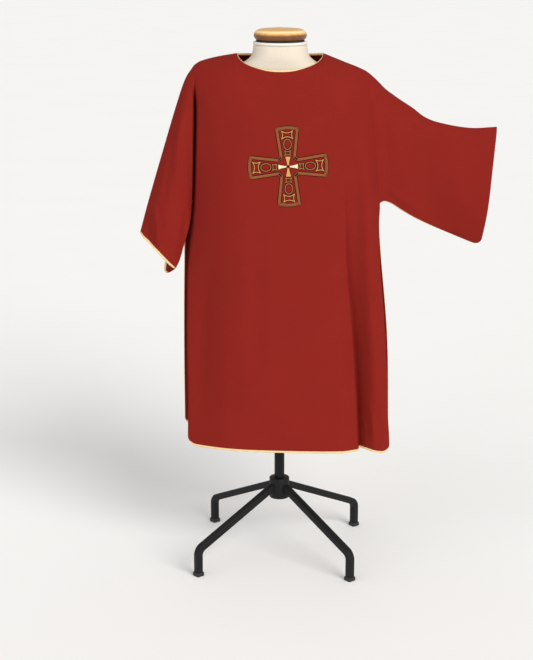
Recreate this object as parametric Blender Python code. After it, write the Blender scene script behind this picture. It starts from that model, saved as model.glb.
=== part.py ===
"""A dalmatic worn by a limbless dress form on a four-legged stand.

Metres, +Z up. The front faces -Y and the raised sleeve points to +X. Each piece of cloth is a
wall of even thickness: its outer face is worked out from the sections and curves below, and
its inner face is that one moved in. The model stands on its floor, centred on the origin.
"""

import math
from collections import namedtuple

import bmesh
import bpy
from mathutils import Matrix, Vector
from mathutils.bvhtree import BVHTree

# Cloth and trims
CLOTH_THICKNESS = 0.002
SEAM_GAP = 0.0005
PIPING_RADIUS = 0.0033
PIPING_END_GAP = 0.008
HANGING_PIPING_END_GAP = 0.024
PIPING_GAP = 0.0011
SHARPEST_BEND = 0.5
CORNER_RADIUS = 0.022
EMBROIDERY_LIFT = 0.0006
EMBROIDERY_THICKNESS = 0.001

# Where the form's own axis stands, so that the whole model is centred on the origin
FORM_AXIS = (-0.11246, 0.0)

# Neckline and shoulder line
NECK_HALF_WIDTH = 0.1215
NECK_CORNER_HEIGHT = 1.504
NECK_FRONT_REACH = 0.115
NECK_FRONT_DROP = 0.040
NECK_BACK_REACH = 0.092
NECK_BACK_DROP = 0.010
SHOULDER_ROUNDNESS = 0.090
ShoulderPoint = namedtuple("ShoulderPoint", "x height")
LEFT_SHOULDER = (
    ShoulderPoint(-0.2450, 1.470),
    ShoulderPoint(-0.2280, 1.481),
    ShoulderPoint(-0.1850, 1.493),
    ShoulderPoint(-NECK_HALF_WIDTH, NECK_CORNER_HEIGHT),
)
RIGHT_SHOULDER = (
    ShoulderPoint(NECK_HALF_WIDTH, NECK_CORNER_HEIGHT),
    ShoulderPoint(0.1840, 1.479),
    ShoulderPoint(0.2150, 1.467),
    ShoulderPoint(0.2400, 1.455),
)

# Panels: the side edges and the middle of each, from the shoulders down to the hem
HEM_HEIGHT = 0.372
RIGHT_HEM_DIP = 0.010
HEM_DIP_START = 0.8
ARMPIT_HEIGHT = 1.088
Section = namedtuple("Section", "height left_x left_y middle_y right_x right_y")
FRONT_SECTIONS = (
    Section(HEM_HEIGHT, -0.271, -0.095, -0.167, 0.321, -0.135),
    Section(0.500, -0.272, -0.092, -0.163, 0.318, -0.122),
    Section(0.650, -0.271, -0.088, -0.158, 0.312, -0.110),
    Section(0.765, -0.269, -0.084, -0.154, 0.304, -0.100),
    Section(0.920, -0.263, -0.078, -0.150, 0.290, -0.088),
    Section(ARMPIT_HEIGHT, -0.252, -0.070, -0.145, 0.284, -0.072),
    Section(1.240, -0.245, -0.070, -0.139, 0.268, -0.072),
    Section(1.380, -0.242, -0.062, -0.128, 0.252, -0.062),
    Section(1.470, -0.245, -0.045, -0.118, 0.240, -0.045),
)
BACK_SECTIONS = (
    Section(HEM_HEIGHT, -0.288, 0.100, 0.165, 0.334, 0.105),
    Section(0.650, -0.284, 0.090, 0.150, 0.325, 0.095),
    Section(0.920, -0.271, 0.078, 0.140, 0.299, 0.082),
    Section(ARMPIT_HEIGHT, -0.252, 0.066, 0.136, 0.284, 0.068),
    Section(1.240, -0.245, 0.066, 0.140, 0.268, 0.068),
    Section(1.380, -0.242, 0.058, 0.128, 0.252, 0.058),
    Section(1.470, -0.245, 0.042, 0.100, 0.240, 0.042),
)
FRONT_ARCH = 3.0
BACK_ARCH = 2.6

# Folds that run down to the hem: where across the panel they start and end, as fractions of
# its width, the height where they start, and their depth and half-widths at the hem
Fold = namedtuple("Fold", "top bottom start depth left_width right_width")
FRONT_FOLDS = (Fold(0.822, 0.853, 1.120, 0.050, 0.022, 0.052),)
FOLD_GROWTH_POWER = 0.75
BACK_FOLDS = (
    Fold(0.330, 0.270, 1.200, 0.034, 0.060, 0.040),
    Fold(0.640, 0.700, 1.150, 0.028, 0.038, 0.062),
)

# The deep crease where the hanging sleeve turns away from the panels
CREASE_DEPTH = 0.036
CREASE_WIDTH = 0.009
CREASE_TOP = 1.440
CREASE_FADE = 0.110

# Sleeves: top fold, cuff and free lower edges
SleevePoint = namedtuple("SleevePoint", "x y height")
RAISED_TOP = (
    SleevePoint(0.2400, 0.000, 1.455),
    SleevePoint(0.2560, 0.000, 1.445),
    SleevePoint(0.2730, 0.001, 1.430),
    SleevePoint(0.3000, 0.002, 1.403),
    SleevePoint(0.3190, 0.002, 1.389),
    SleevePoint(0.3400, 0.003, 1.374),
    SleevePoint(0.3800, 0.004, 1.348),
    SleevePoint(0.4150, 0.005, 1.322),
    SleevePoint(0.4580, 0.005, 1.306),
    SleevePoint(0.5450, 0.006, 1.291),
    SleevePoint(0.6220, 0.006, 1.294),
)
RAISED_CUFF = (
    SleevePoint(0.6220, 0.006, 1.294),
    SleevePoint(0.6110, 0.006, 1.180),
    SleevePoint(0.6000, 0.006, 1.050),
    SleevePoint(0.5840, 0.006, 0.948),
)
RAISED_LOWER_EDGE = (
    SleevePoint(0.2840, 0.000, ARMPIT_HEIGHT),
    SleevePoint(0.3000, 0.000, 1.091),
    SleevePoint(0.3200, 0.001, 1.083),
    SleevePoint(0.3490, 0.002, 1.063),
    SleevePoint(0.3930, 0.003, 1.035),
    SleevePoint(0.4660, 0.005, 0.998),
    SleevePoint(0.5840, 0.006, 0.948),
)
RAISED_FRONT_DEPTH = 0.030
RAISED_BACK_DEPTH = 0.026
RAISED_EDGE_DEPTH = 0.009
RAISED_OPENING_SHARE = 0.8
SLEEVE_FOLD_SHARE = 0.08
SLEEVE_SWELL_POWER = 0.8
HANGING_TOP = (
    SleevePoint(-0.2450, 0.000, 1.470),
    SleevePoint(-0.2690, -0.006, 1.434),
    SleevePoint(-0.2920, -0.014, 1.371),
    SleevePoint(-0.3310, -0.026, 1.245),
    SleevePoint(-0.3800, -0.037, 1.082),
    SleevePoint(-0.4030, -0.040, 0.999),
)
HANGING_FRONT_EDGE = (
    SleevePoint(-0.2520, -0.070, ARMPIT_HEIGHT),
    SleevePoint(-0.2590, -0.088, 1.026),
    SleevePoint(-0.2750, -0.098, 0.967),
    SleevePoint(-0.3000, -0.104, 0.902),
)
HANGING_BACK_EDGE = (
    SleevePoint(-0.2520, 0.066, ARMPIT_HEIGHT),
    SleevePoint(-0.2620, 0.078, 1.020),
    SleevePoint(-0.2840, 0.074, 0.940),
    SleevePoint(-0.3170, 0.056, 0.858),
)
HANGING_FRONT_SWELL = 0.040
HANGING_BACK_SWELL = 0.060
HANGING_CUFF_LIFT = 0.20

# Dress form: half-width and the reach to the front and to the back at each height
FormRing = namedtuple("FormRing", "height half_width front back")
TORSO_RINGS = (
    FormRing(0.800, 0.158, 0.108, 0.112),
    FormRing(0.806, 0.164, 0.114, 0.118),
    FormRing(0.870, 0.170, 0.118, 0.122),
    FormRing(0.950, 0.166, 0.113, 0.114),
    FormRing(1.030, 0.156, 0.105, 0.098),
    FormRing(1.100, 0.157, 0.107, 0.098),
    FormRing(1.190, 0.172, 0.117, 0.108),
    FormRing(1.280, 0.190, 0.120, 0.116),
    FormRing(1.350, 0.203, 0.112, 0.116),
    FormRing(1.400, 0.207, 0.100, 0.106),
    FormRing(1.432, 0.196, 0.089, 0.094),
    FormRing(1.452, 0.168, 0.082, 0.084),
    FormRing(1.468, 0.128, 0.078, 0.078),
    FormRing(1.482, 0.098, 0.076, 0.077),
    FormRing(1.498, 0.082, 0.075, 0.077),
    FormRing(1.528, 0.0760, 0.073, 0.075),
)
TORSO_SQUARENESS = 2.3
TORSO_SIDES = 32
TurnedPoint = namedtuple("TurnedPoint", "radius height")
NECK_TRIM = (
    TurnedPoint(0.0000, 1.5284),
    TurnedPoint(0.0752, 1.5284),
    TurnedPoint(0.0770, 1.5310),
    TurnedPoint(0.0770, 1.5340),
    TurnedPoint(0.0752, 1.5364),
    TurnedPoint(0.0000, 1.5364),
)
NECK_PLATE = (
    TurnedPoint(0.0000, 1.5368),
    TurnedPoint(0.0690, 1.5368),
    TurnedPoint(0.0690, 1.5408),
    TurnedPoint(0.0000, 1.5408),
)
NECK_CAP = (
    TurnedPoint(0.0000, 1.5412),
    TurnedPoint(0.0640, 1.5412),
    TurnedPoint(0.0705, 1.5435),
    TurnedPoint(0.0745, 1.5495),
    TurnedPoint(0.0750, 1.5560),
    TurnedPoint(0.0715, 1.5640),
    TurnedPoint(0.0640, 1.5695),
    TurnedPoint(0.0500, 1.5722),
    TurnedPoint(0.0150, 1.5730),
    TurnedPoint(0.0100, 1.5755),
    TurnedPoint(0.0000, 1.5765),
)
TURNED_SIDES = 28

# Stand
BASE_PLATE = (
    TurnedPoint(0.0000, 0.7840),
    TurnedPoint(0.0900, 0.7840),
    TurnedPoint(0.0940, 0.7880),
    TurnedPoint(0.0940, 0.7996),
    TurnedPoint(0.0000, 0.7996),
)
HUB_TOP = 0.236
POLE = (
    TurnedPoint(0.0000, HUB_TOP + 0.0004),
    TurnedPoint(0.0150, HUB_TOP + 0.0004),
    TurnedPoint(0.0150, 0.7836),
    TurnedPoint(0.0000, 0.7836),
)
HUB_RADIUS = 0.030
HUB_SIDES = 20
HUB = (
    TurnedPoint(0.0000, 0.172),
    TurnedPoint(0.0270, 0.172),
    TurnedPoint(HUB_RADIUS, 0.175),
    TurnedPoint(HUB_RADIUS, 0.233),
    TurnedPoint(0.0270, HUB_TOP),
    TurnedPoint(0.0000, HUB_TOP),
)
POLE_SIDES = 16
LEG_TURN = math.radians(-4.5)
LEG_NAMES = ("right_back", "left_back", "left_front", "right_front")
LEG_SIZE = 0.020
LEG_REACH = 0.314
LEG_START_HEIGHT = 0.208
LEG_KNEE_HEIGHT = 0.080
LEG_BEND_RADIUS = 0.026
LEG_BEND_STEPS = 5
FOOT_HEIGHT = 0.012
FOOT_SIZE = 0.025
FOOT_BEVEL = 0.0015

# Embroidered cross on the chest, turned a little on the cloth. The spools of an arm are thin
# outlines with four corners and hollow sides, given by where they start and end along the arm,
# their half-width, and how far their long and short sides bow in.
CROSS_CENTRE = (0.0215, 1.2010)
CROSS_TURN = math.radians(2.0)
ARM_REACH = 0.1120
ARM_TIP_HALF_WIDTH = 0.0325
ARM_TIP_BOW = 0.0045
ARM_ROOT_REACH = 0.0285
ARM_ROOT_HALF_WIDTH = 0.0225
ARM_STEPS = 5
BAND_WIDTH = 0.0078
BAND_ROOT_SHARE = 0.35
Spool = namedtuple("Spool", "name start end half_width side_bow end_bow")
SPOOLS = (
    Spool("tip_spool", 0.0759, 0.1013, 0.0173, 0.0034, 0.0060),
    Spool("inner_spool", 0.0299, 0.0459, 0.0101, 0.0024, 0.0024),
)
SPOOL_STEPS = 4
RING_MIDDLE = 0.0622
RING_HALF_LENGTH = 0.0155
RING_HALF_WIDTH = 0.0118
RING_STEPS = 16
THREAD_WIDTH = 0.0026
SMALL_CROSS_REACH = 0.0270
SMALL_CROSS_TIP_HALF = 0.0064
SMALL_CROSS_ROOT = 0.0030
ARM_NAMES = ("right", "top", "left", "bottom")

# Numbers of rows and columns in the cloth grids
ROWS_TO_ARMPIT = 9
ROWS_TO_HEM = 9
TOP_ROW_CROWDING = 1.7
CORNER_ROW_SHARE = 0.6
FRONT_NECK_COLUMNS = 10
BACK_NECK_COLUMNS = 8
LEFT_COLUMNS = (0.0, 0.011, 0.030, 0.085, 0.165)
RIGHT_COLUMNS = (0.785, 0.812, 0.832, 0.852, 0.875, 0.905, 0.935, 0.962, 0.982, 1.0)
RAISED_STATIONS = (0.0, 0.05, 0.12, 0.20, 0.30, 0.41, 0.53, 0.66, 0.79, 0.91, 0.955, 0.980, 1.0)
HANGING_STATIONS = (0.0, 0.022, 0.055, 0.11, 0.19, 0.30, 0.43, 0.57, 0.71, 0.84, 0.93, 0.970, 1.0)

# Angles, in degrees, under which neighbouring faces are shaded as one smooth surface
SMOOTH_ANGLE = 40.0
CLOTH_SMOOTH_ANGLE = 60.0
METAL_SMOOTH_ANGLE = 30.0

Finish = namedtuple("Finish", "colour roughness metallic")
FINISHES = {
    "red_cloth": Finish((0.275, 0.022, 0.017), 0.75, 0.0),
    "gold_piping": Finish((0.800, 0.520, 0.180), 0.45, 0.0),
    "bronze_thread": Finish((0.400, 0.150, 0.060), 0.50, 0.0),
    "gold_thread": Finish((0.900, 0.700, 0.350), 0.45, 0.0),
    "linen": Finish((0.780, 0.680, 0.520), 0.85, 0.0),
    "white_trim": Finish((0.900, 0.880, 0.820), 0.70, 0.0),
    "cap_wood": Finish((0.520, 0.260, 0.090), 0.30, 0.0),
    "black_metal": Finish((0.012, 0.012, 0.013), 0.40, 0.0),
    "black_plastic": Finish((0.015, 0.015, 0.016), 0.60, 0.0),
}


def clear_scene():
    """Remove every object of the scene that the file opened with."""
    for obj in list(bpy.data.objects):
        bpy.data.objects.remove(obj)


def material(slot):
    """The material of one finish, made the first time that it is asked for."""
    found = bpy.data.materials.get(slot)
    if found:
        return found
    finish = FINISHES[slot]
    made = bpy.data.materials.new(slot)
    made.use_nodes = True
    shader = made.node_tree.nodes["Principled BSDF"]
    shader.inputs["Base Color"].default_value = (*finish.colour, 1.0)
    shader.inputs["Roughness"].default_value = finish.roughness
    shader.inputs["Metallic"].default_value = finish.metallic
    return made


def place(name, data, slot, stand_in):
    """Add one named object to the scene, under the empty that centres the model."""
    data.materials.append(material(slot))
    obj = bpy.data.objects.new(name, data)
    bpy.context.scene.collection.objects.link(obj)
    obj.parent = stand_in
    return obj


def mesh_object(name, points, faces, slot, parent, smooth_angle=SMOOTH_ANGLE):
    """A closed mesh from its points and faces, all facing out."""
    mesh = bpy.data.meshes.new(name)
    mesh.from_pydata([tuple(point) for point in points], [], faces)
    shape = bmesh.new()
    shape.from_mesh(mesh)
    bmesh.ops.recalc_face_normals(shape, faces=shape.faces)
    shape.to_mesh(mesh)
    shape.free()
    mesh.shade_smooth()
    mesh.set_sharp_from_angle(angle=math.radians(smooth_angle))
    return place(name, mesh, slot, parent)


# Curves and tables


def between(a, b, t):
    return a + (b - a) * t


def clamped(t):
    return min(1.0, max(0.0, t))


def eased(t):
    t = clamped(t)
    return t * t * (3.0 - 2.0 * t)


def bell(t):
    """One at zero, falling smoothly to nothing at one and beyond, on both sides."""
    return 1.0 - eased(abs(t))


def slope_at(keys, values, i):
    """The slope of a smooth curve through the values at point i."""
    before = max(0, i - 1)
    after = min(len(keys) - 1, i + 1)
    return (values[after] - values[before]) / (keys[after] - keys[before])


def smooth_value(keys, values, key):
    """A smooth curve through the values, held level beyond its two ends."""
    if key <= keys[0]:
        return values[0]
    if key >= keys[-1]:
        return values[-1]
    i = max(n for n in range(len(keys) - 1) if keys[n] <= key)
    span = keys[i + 1] - keys[i]
    t = (key - keys[i]) / span
    start = slope_at(keys, values, i) * span
    end = slope_at(keys, values, i + 1) * span
    return (
        values[i] * (1 + 2 * t) * (1 - t) ** 2
        + start * t * (1 - t) ** 2
        + values[i + 1] * t * t * (3 - 2 * t)
        + end * t * t * (t - 1)
    )


def section_at(sections, height):
    """The row of a section table at any height between its first row and its last."""
    keys = [row.height for row in sections]
    columns = zip(*sections)
    return Section(*(smooth_value(keys, column, height) for column in columns))


def along(points, t):
    """The point at fraction t of the length of a smooth curve through the points."""
    lengths = [0.0]
    for first, second in zip(points, points[1:]):
        lengths.append(lengths[-1] + math.dist(first, second))
    key = t * lengths[-1]
    return Vector(smooth_value(lengths, column, key) for column in zip(*points))


def line_at(points, fractions, t):
    """The point at fraction t of a run of straight pieces whose ends are at the fractions."""
    for i in range(len(points) - 1):
        if t <= fractions[i + 1]:
            part = (t - fractions[i]) / (fractions[i + 1] - fractions[i])
            return points[i].lerp(points[i + 1], part)
    return points[-1].copy()


def rounded(to_side, to_end, radius):
    """Distances to the two edges of a square corner, moved so that the corner is round."""
    if to_side >= radius or to_end >= radius:
        return to_side, to_end
    p = 1.0 - to_side / radius
    q = 1.0 - to_end / radius
    round_p = p * math.sqrt(1.0 - q * q / 2.0)
    round_q = q * math.sqrt(1.0 - p * p / 2.0)
    return radius * (1.0 - round_p), radius * (1.0 - round_q)


# Cloth walls


def outward_normals(grid, facing):
    """A unit normal at each point of a grid, turned over where facing is -1."""
    normals = []
    for i, row in enumerate(grid):
        up = grid[max(0, i - 1)]
        down = grid[min(len(grid) - 1, i + 1)]
        line = []
        for j in range(len(row)):
            across = row[min(len(row) - 1, j + 1)] - row[max(0, j - 1)]
            line.append((down[j] - up[j]).cross(across).normalized() * facing)
        normals.append(line)
    return normals


def share_normals(*places):
    """Give the points that meet at a seam one normal, so that their walls end face to face."""
    shared = sum((normals[i][j] for normals, i, j in places), Vector()).normalized()
    for normals, i, j in places:
        normals[i][j] = shared


def cloth_wall(name, grid, normals, slot, parent):
    """One closed wall: the grid, the same grid moved in, and the strips round its edge."""
    rows = len(grid)
    columns = len(grid[0])
    outer = [point for row in grid for point in row]
    inner = [
        point - normal * CLOTH_THICKNESS
        for row, line in zip(grid, normals)
        for point, normal in zip(row, line)
    ]
    count = len(outer)
    faces = []
    for i in range(rows - 1):
        for j in range(columns - 1):
            a = i * columns + j
            quad = (a, a + 1, a + 1 + columns, a + columns)
            faces.append(quad)
            faces.append(tuple(count + n for n in reversed(quad)))
    rim = [(0, j) for j in range(columns - 1)]
    rim += [(i, columns - 1) for i in range(rows - 1)]
    rim += [(rows - 1, j) for j in range(columns - 1, 0, -1)]
    rim += [(i, 0) for i in range(rows - 1, 0, -1)]
    ring = [i * columns + j for i, j in rim]
    for a, b in zip(ring, ring[1:] + ring[:1]):
        faces.append((b, a, count + a, count + b))
    return mesh_object(name, outer + inner, faces, slot, parent, CLOTH_SMOOTH_ANGLE)


def panel_columns(left, neck_count, right):
    """Column fractions across a panel, with the neckline's own spaced by equal turns."""
    width = RIGHT_SHOULDER[-1].x - LEFT_SHOULDER[0].x
    neck = []
    for n in range(neck_count + 1):
        x = -NECK_HALF_WIDTH * math.cos(math.pi * n / neck_count)
        neck.append((x - LEFT_SHOULDER[0].x) / width)
    return [*left, *neck, *right]


def top_point(across, reach, drop, side):
    """The point of a panel's top edge: shoulder, neckline or shoulder."""
    x = between(LEFT_SHOULDER[0].x, RIGHT_SHOULDER[-1].x, across)
    if abs(x) >= NECK_HALF_WIDTH - 1e-6:
        shoulder = LEFT_SHOULDER if x < 0 else RIGHT_SHOULDER
        keys = [point.x for point in shoulder]
        heights = [point.height for point in shoulder]
        return Vector((x, side * SEAM_GAP / 2, smooth_value(keys, heights, x)))
    turn = math.sqrt(1.0 - (x / NECK_HALF_WIDTH) ** 2)
    y = side * (SEAM_GAP / 2 + reach * turn)
    return Vector((x, y, NECK_CORNER_HEIGHT - drop * turn))


def crease_depth(distance, height):
    """How far the cloth goes in at this distance from the hanging sleeve's seam."""
    gate = eased((CREASE_TOP - height) / CREASE_FADE)
    below = 1.0 - eased((ARMPIT_HEIGHT - height) / (2 * CREASE_FADE))
    return CREASE_DEPTH * gate * below * bell(distance / CREASE_WIDTH)


def fold_depth(folds, across, width, height):
    """How far the folds take the cloth in at this place on a panel."""
    depth = 0.0
    for fold in folds:
        grown = clamped((fold.start - height) / (fold.start - HEM_HEIGHT))
        middle = between(fold.top, fold.bottom, grown)
        away = (across - middle) * width
        half = fold.left_width if away < 0 else fold.right_width
        depth += fold.depth * grown**FOLD_GROWTH_POWER * bell(away / half)
    return depth


def panel_grid(sections, folds, arch, columns, reach, drop, side):
    """The outer points of a panel, row by row from its top edge. side is -1 for the front."""
    rows = [(n / ROWS_TO_ARMPIT) ** TOP_ROW_CROWDING for n in range(ROWS_TO_ARMPIT + 1)]
    rows += [1.0 + n / ROWS_TO_HEM for n in range(1, ROWS_TO_HEM)]
    rows += [2.0 - CORNER_ROW_SHARE * CORNER_RADIUS / (ARMPIT_HEIGHT - HEM_HEIGHT), 2.0]
    tops = [top_point(across, reach, drop, side) for across in columns]
    grid = []
    for down in rows:
        line = []
        for across, top in zip(columns, tops):
            line.append(panel_point(sections, folds, arch, across, down, top, side))
        grid.append(line)
    return grid


def panel_point(sections, folds, arch, across, down, top, side):
    """A point of a panel. down runs from 0 at the top over 1 at the armpit to 2 at the hem."""
    fall = ARMPIT_HEIGHT - HEM_HEIGHT
    hem_width = sections[0].right_x - sections[0].left_x
    edge = min(across, 1.0 - across) * hem_width
    if down > 1.0:
        edge, to_hem = rounded(edge, (2.0 - down) * fall, CORNER_RADIUS)
        across = edge / hem_width if across < 0.5 else 1.0 - edge / hem_width
        down = 2.0 - to_hem / fall
    if down <= 1.0:
        height = between(top.z, ARMPIT_HEIGHT, down)
    else:
        hem = HEM_HEIGHT - RIGHT_HEM_DIP * eased((across - HEM_DIP_START) / (1.0 - HEM_DIP_START))
        height = between(ARMPIT_HEIGHT, hem, down - 1.0)
    row = section_at(sections, height)
    x = between(row.left_x, row.right_x, across)
    sides = between(row.left_y, row.right_y, across)
    bulge = row.middle_y - (row.left_y + row.right_y) / 2
    hang = sides + bulge * (1.0 - abs(2.0 * across - 1.0) ** arch)
    over = 1.0 - clamped((top.z - height) / SHOULDER_ROUNDNESS)
    y = between(top.y, hang, math.sqrt(1.0 - over * over))
    y -= side * fold_depth(folds, across, row.right_x - row.left_x, height)
    y -= side * crease_depth(across * (row.right_x - row.left_x), height)
    return Vector((x, y, height))


def sleeve_profile(rise, depth, edge_depth):
    """Depth of a flattened sleeve's layer, from its top fold at 0 to its lower edge at 1."""
    turn = math.sqrt(1.0 - (1.0 - clamped(rise / SLEEVE_FOLD_SHARE)) ** 2)
    swell = math.sin(math.pi * rise) ** SLEEVE_SWELL_POWER
    return edge_depth * turn + (depth - edge_depth) * swell


def raised_cuff(rise, side):
    point = along(RAISED_CUFF, rise)
    depth = RAISED_FRONT_DEPTH if side < 0 else RAISED_BACK_DEPTH
    point.y += side * sleeve_profile(rise, depth, RAISED_EDGE_DEPTH)
    return point


def raised_lower_edge(out, side, start):
    point = along((start, *RAISED_LOWER_EDGE[1:]), out)
    middle = along(RAISED_LOWER_EDGE, out).y
    point.y = middle + between(
        start.y, side * RAISED_EDGE_DEPTH, eased(out / RAISED_OPENING_SHARE)
    )
    return point


def hanging_cuff(rise, side):
    edge = HANGING_FRONT_EDGE if side < 0 else HANGING_BACK_EDGE
    swell = HANGING_FRONT_SWELL if side < 0 else HANGING_BACK_SWELL
    point = Vector(HANGING_TOP[-1]).lerp(Vector(edge[-1]), rise)
    out = swell * math.sin(math.pi * rise) ** SLEEVE_SWELL_POWER
    point.y += side * out
    point.z -= side * out * HANGING_CUFF_LIFT
    return point


def hanging_lower_edge(out, side, start):
    edge = HANGING_FRONT_EDGE if side < 0 else HANGING_BACK_EDGE
    return along((start, *edge[1:]), out)


def sleeve_half(seam, rises, top, cuff, lower_edge, stations, side):
    """Half of a sleeve as a patch between its seam, cuff, top fold and lower edge.

    It is a list of stations from the seam to the cuff, each from the top fold down.
    """
    armpit = seam[-1]
    length = (cuff(1.0, side) - armpit).length
    height = math.dist(cuff(0.0, side), cuff(1.0, side))
    half = []
    for station in stations:
        line = []
        for rise in rises:
            to_cuff = (1.0 - station) * length
            to_edge = (1.0 - rise) * height
            to_cuff, to_edge = rounded(to_cuff, to_edge, CORNER_RADIUS)
            out = 1.0 - to_cuff / length
            low = 1.0 - to_edge / height
            at_seam = line_at(seam, rises, low)
            point = at_seam * (1 - out) + cuff(low, side) * out
            point += along(top, out) * (1 - low) + lower_edge(out, side, armpit) * low
            point -= seam[0] * (1 - out) * (1 - low) + armpit * (1 - out) * low
            point -= cuff(0.0, side) * out * (1 - low) + cuff(1.0, side) * out * low
            line.append(point)
        half.append(line)
    return half


def sleeve_grid(front_seam, back_seam, top, cuff, lower_edge, stations, shift):
    """A sleeve's outer points: at each station from the front edge over the top to the back."""
    rises = [(n / ROWS_TO_ARMPIT) ** TOP_ROW_CROWDING for n in range(ROWS_TO_ARMPIT + 1)]
    gap = Vector((shift, 0.0, 0.0))
    shoulder_end = (front_seam[0] + back_seam[0]) / 2 + gap
    front_seam = [shoulder_end] + [point + gap for point in front_seam[1:]]
    back_seam = [shoulder_end] + [point + gap for point in back_seam[1:]]
    top = [shoulder_end, *top[1:]]
    front = sleeve_half(front_seam, rises, top, cuff, lower_edge, stations, -1)
    back = sleeve_half(back_seam, rises, top, cuff, lower_edge, stations, 1)
    return [list(reversed(a)) + b[1:] for a, b in zip(front, back)]


def without_crease(seam, side):
    """The hanging sleeve's seam where it would be with no crease."""
    return [point + Vector((0.0, side * crease_depth(0.0, point.z), 0.0)) for point in seam]


def add_crease(grid):
    """Take the hanging sleeve in beside its seam, as the panels are."""
    middle = len(grid[0]) // 2
    seam = [point.copy() for point in grid[0]]
    for line in grid:
        for j, point in enumerate(line):
            side = (j > middle) - (j < middle)
            point.y -= side * crease_depth((point - seam[j]).length, seam[j].z)


# Trims


def rim_points(grid, normals, places, closed=False):
    """Points just outside the rim of a wall, level with the middle of its thickness."""
    points = []
    last = len(places) - 1
    for n, (i, j) in enumerate(places):
        before = places[n - 1] if n or closed else places[0]
        after = places[(n + 1) % len(places)] if n < last or closed else places[last]
        arriving = (grid[i][j] - grid[before[0]][before[1]]).normalized()
        leaving = (grid[after[0]][after[1]] - grid[i][j]).normalized()
        normal = normals[i][j]
        out = (arriving + leaving).cross(normal).normalized()
        bend = 1.0
        if arriving.length * leaving.length > 0.0:
            bend = max(SHARPEST_BEND, (arriving + leaving).length / 2)
        inside = grid[min(len(grid) - 2, max(1, i))][min(len(grid[0]) - 2, max(1, j))]
        if out.dot(grid[i][j] - inside) < 0:
            out = -out
        middle = grid[i][j] - normal * CLOTH_THICKNESS / 2
        points.append(middle + out * (PIPING_RADIUS + PIPING_GAP) / bend)
    return points


def drawn_back(points, gap):
    """A run of points with a length taken off its start."""
    points = list(points)
    while (points[1] - points[0]).length < gap:
        gap -= (points[1] - points[0]).length
        points.pop(0)
    points[0] = points[0] + (points[1] - points[0]).normalized() * gap
    return points


def shortened(points, gap):
    """A run of points with the same length taken off each end."""
    return drawn_back(reversed(drawn_back(points, gap)), gap)


def piping(name, points, parent, closed=False):
    """A round cord along the points, with its ends filled."""
    curve = bpy.data.curves.new(name, "CURVE")
    curve.dimensions = "3D"
    curve.bevel_depth = PIPING_RADIUS
    curve.bevel_resolution = 1
    curve.use_fill_caps = True
    spline = curve.splines.new("POLY")
    spline.points.add(len(points) - 1)
    for place_on, point in zip(spline.points, points):
        place_on.co = (*point, 1.0)
    spline.use_cyclic_u = closed
    return place(name, curve, "gold_piping", parent)


def edge_run(rows, columns):
    """Places round a panel: down its left edge, along its hem and up its right edge."""
    places = [(i, 0) for i in range(ROWS_TO_ARMPIT, rows - 1)]
    places += [(rows - 1, j) for j in range(columns)]
    places += [(i, columns - 1) for i in range(rows - 2, ROWS_TO_ARMPIT - 1, -1)]
    return places


def sleeve_run(rows, columns):
    """Places round a sleeve: along its front edge, round its cuff and back along the other."""
    places = [(i, 0) for i in range(rows - 1)]
    places += [(rows - 1, j) for j in range(columns)]
    places += [(i, columns - 1) for i in range(rows - 2, -1, -1)]
    return places


def neck_run(columns, grid):
    """Places along a panel's neckline."""
    return [
        (0, j)
        for j in range(len(columns))
        if abs(grid[0][j].x) < NECK_HALF_WIDTH + 1e-6
    ]


# Embroidery


class ChestCloth:
    """The outer face of the front panel, for laying flat shapes on it."""

    def __init__(self, grid):
        columns = len(grid[0])
        points = [point for row in grid for point in row]
        faces = [
            (a, a + 1, a + 1 + columns, a + columns)
            for i in range(len(grid) - 1)
            for a in range(i * columns, i * columns + columns - 1)
        ]
        self.tree = BVHTree.FromPolygons(points, faces)

    def point(self, right, up, lift):
        """Where a point of the cross lies on the cloth, moved out by lift."""
        turned = Matrix.Rotation(CROSS_TURN, 2) @ Vector((right, up))
        start = Vector((CROSS_CENTRE[0] + turned.x, -1.0, CROSS_CENTRE[1] + turned.y))
        found = self.tree.ray_cast(start, Vector((0.0, 1.0, 0.0)))[0]
        return found - Vector((0.0, lift, 0.0))


def thread_ribbon(name, first, second, cloth, slot, parent):
    """A raised ring of thread between two outlines of flat points, laid on the cloth."""
    base = EMBROIDERY_LIFT
    top = EMBROIDERY_LIFT + EMBROIDERY_THICKNESS
    runs = [(first, base), (second, base), (second, top), (first, top)]
    points = [cloth.point(x, z, lift) for flat, lift in runs for x, z in flat]
    count = len(first)
    faces = []
    for i in range(count):
        after = (i + 1) % count
        for side in range(4):
            a = side * count
            b = (side + 1) % 4 * count
            faces.append((a + i, a + after, b + after, b + i))
    return mesh_object(name, points, faces, slot, parent)


def turned_quarter(points, quarter):
    """Flat points of the arm to the right, turned to another arm."""
    turn = Matrix.Rotation(math.pi / 2 * quarter, 2)
    return [tuple(turn @ Vector(point)) for point in points]


def arm_outline(inset):
    """The outline of the arm to the right, from its lower root round its tip to its upper one."""
    reach = ARM_REACH - inset
    tip = ARM_TIP_HALF_WIDTH - inset
    root = ARM_ROOT_REACH - inset * BAND_ROOT_SHARE
    root_half = ARM_ROOT_HALF_WIDTH - inset
    lower = []
    for n in range(ARM_STEPS):
        t = n / ARM_STEPS
        lower.append((between(root, reach - ARM_TIP_BOW, t), -between(root_half, tip, t)))
    bowed = []
    for n in range(-2, 3):
        z = tip * n / 2
        bowed.append((reach - ARM_TIP_BOW * (n / 2) ** 2, z))
    upper = [(x, -z) for x, z in reversed(lower)]
    return lower + bowed + upper


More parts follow.
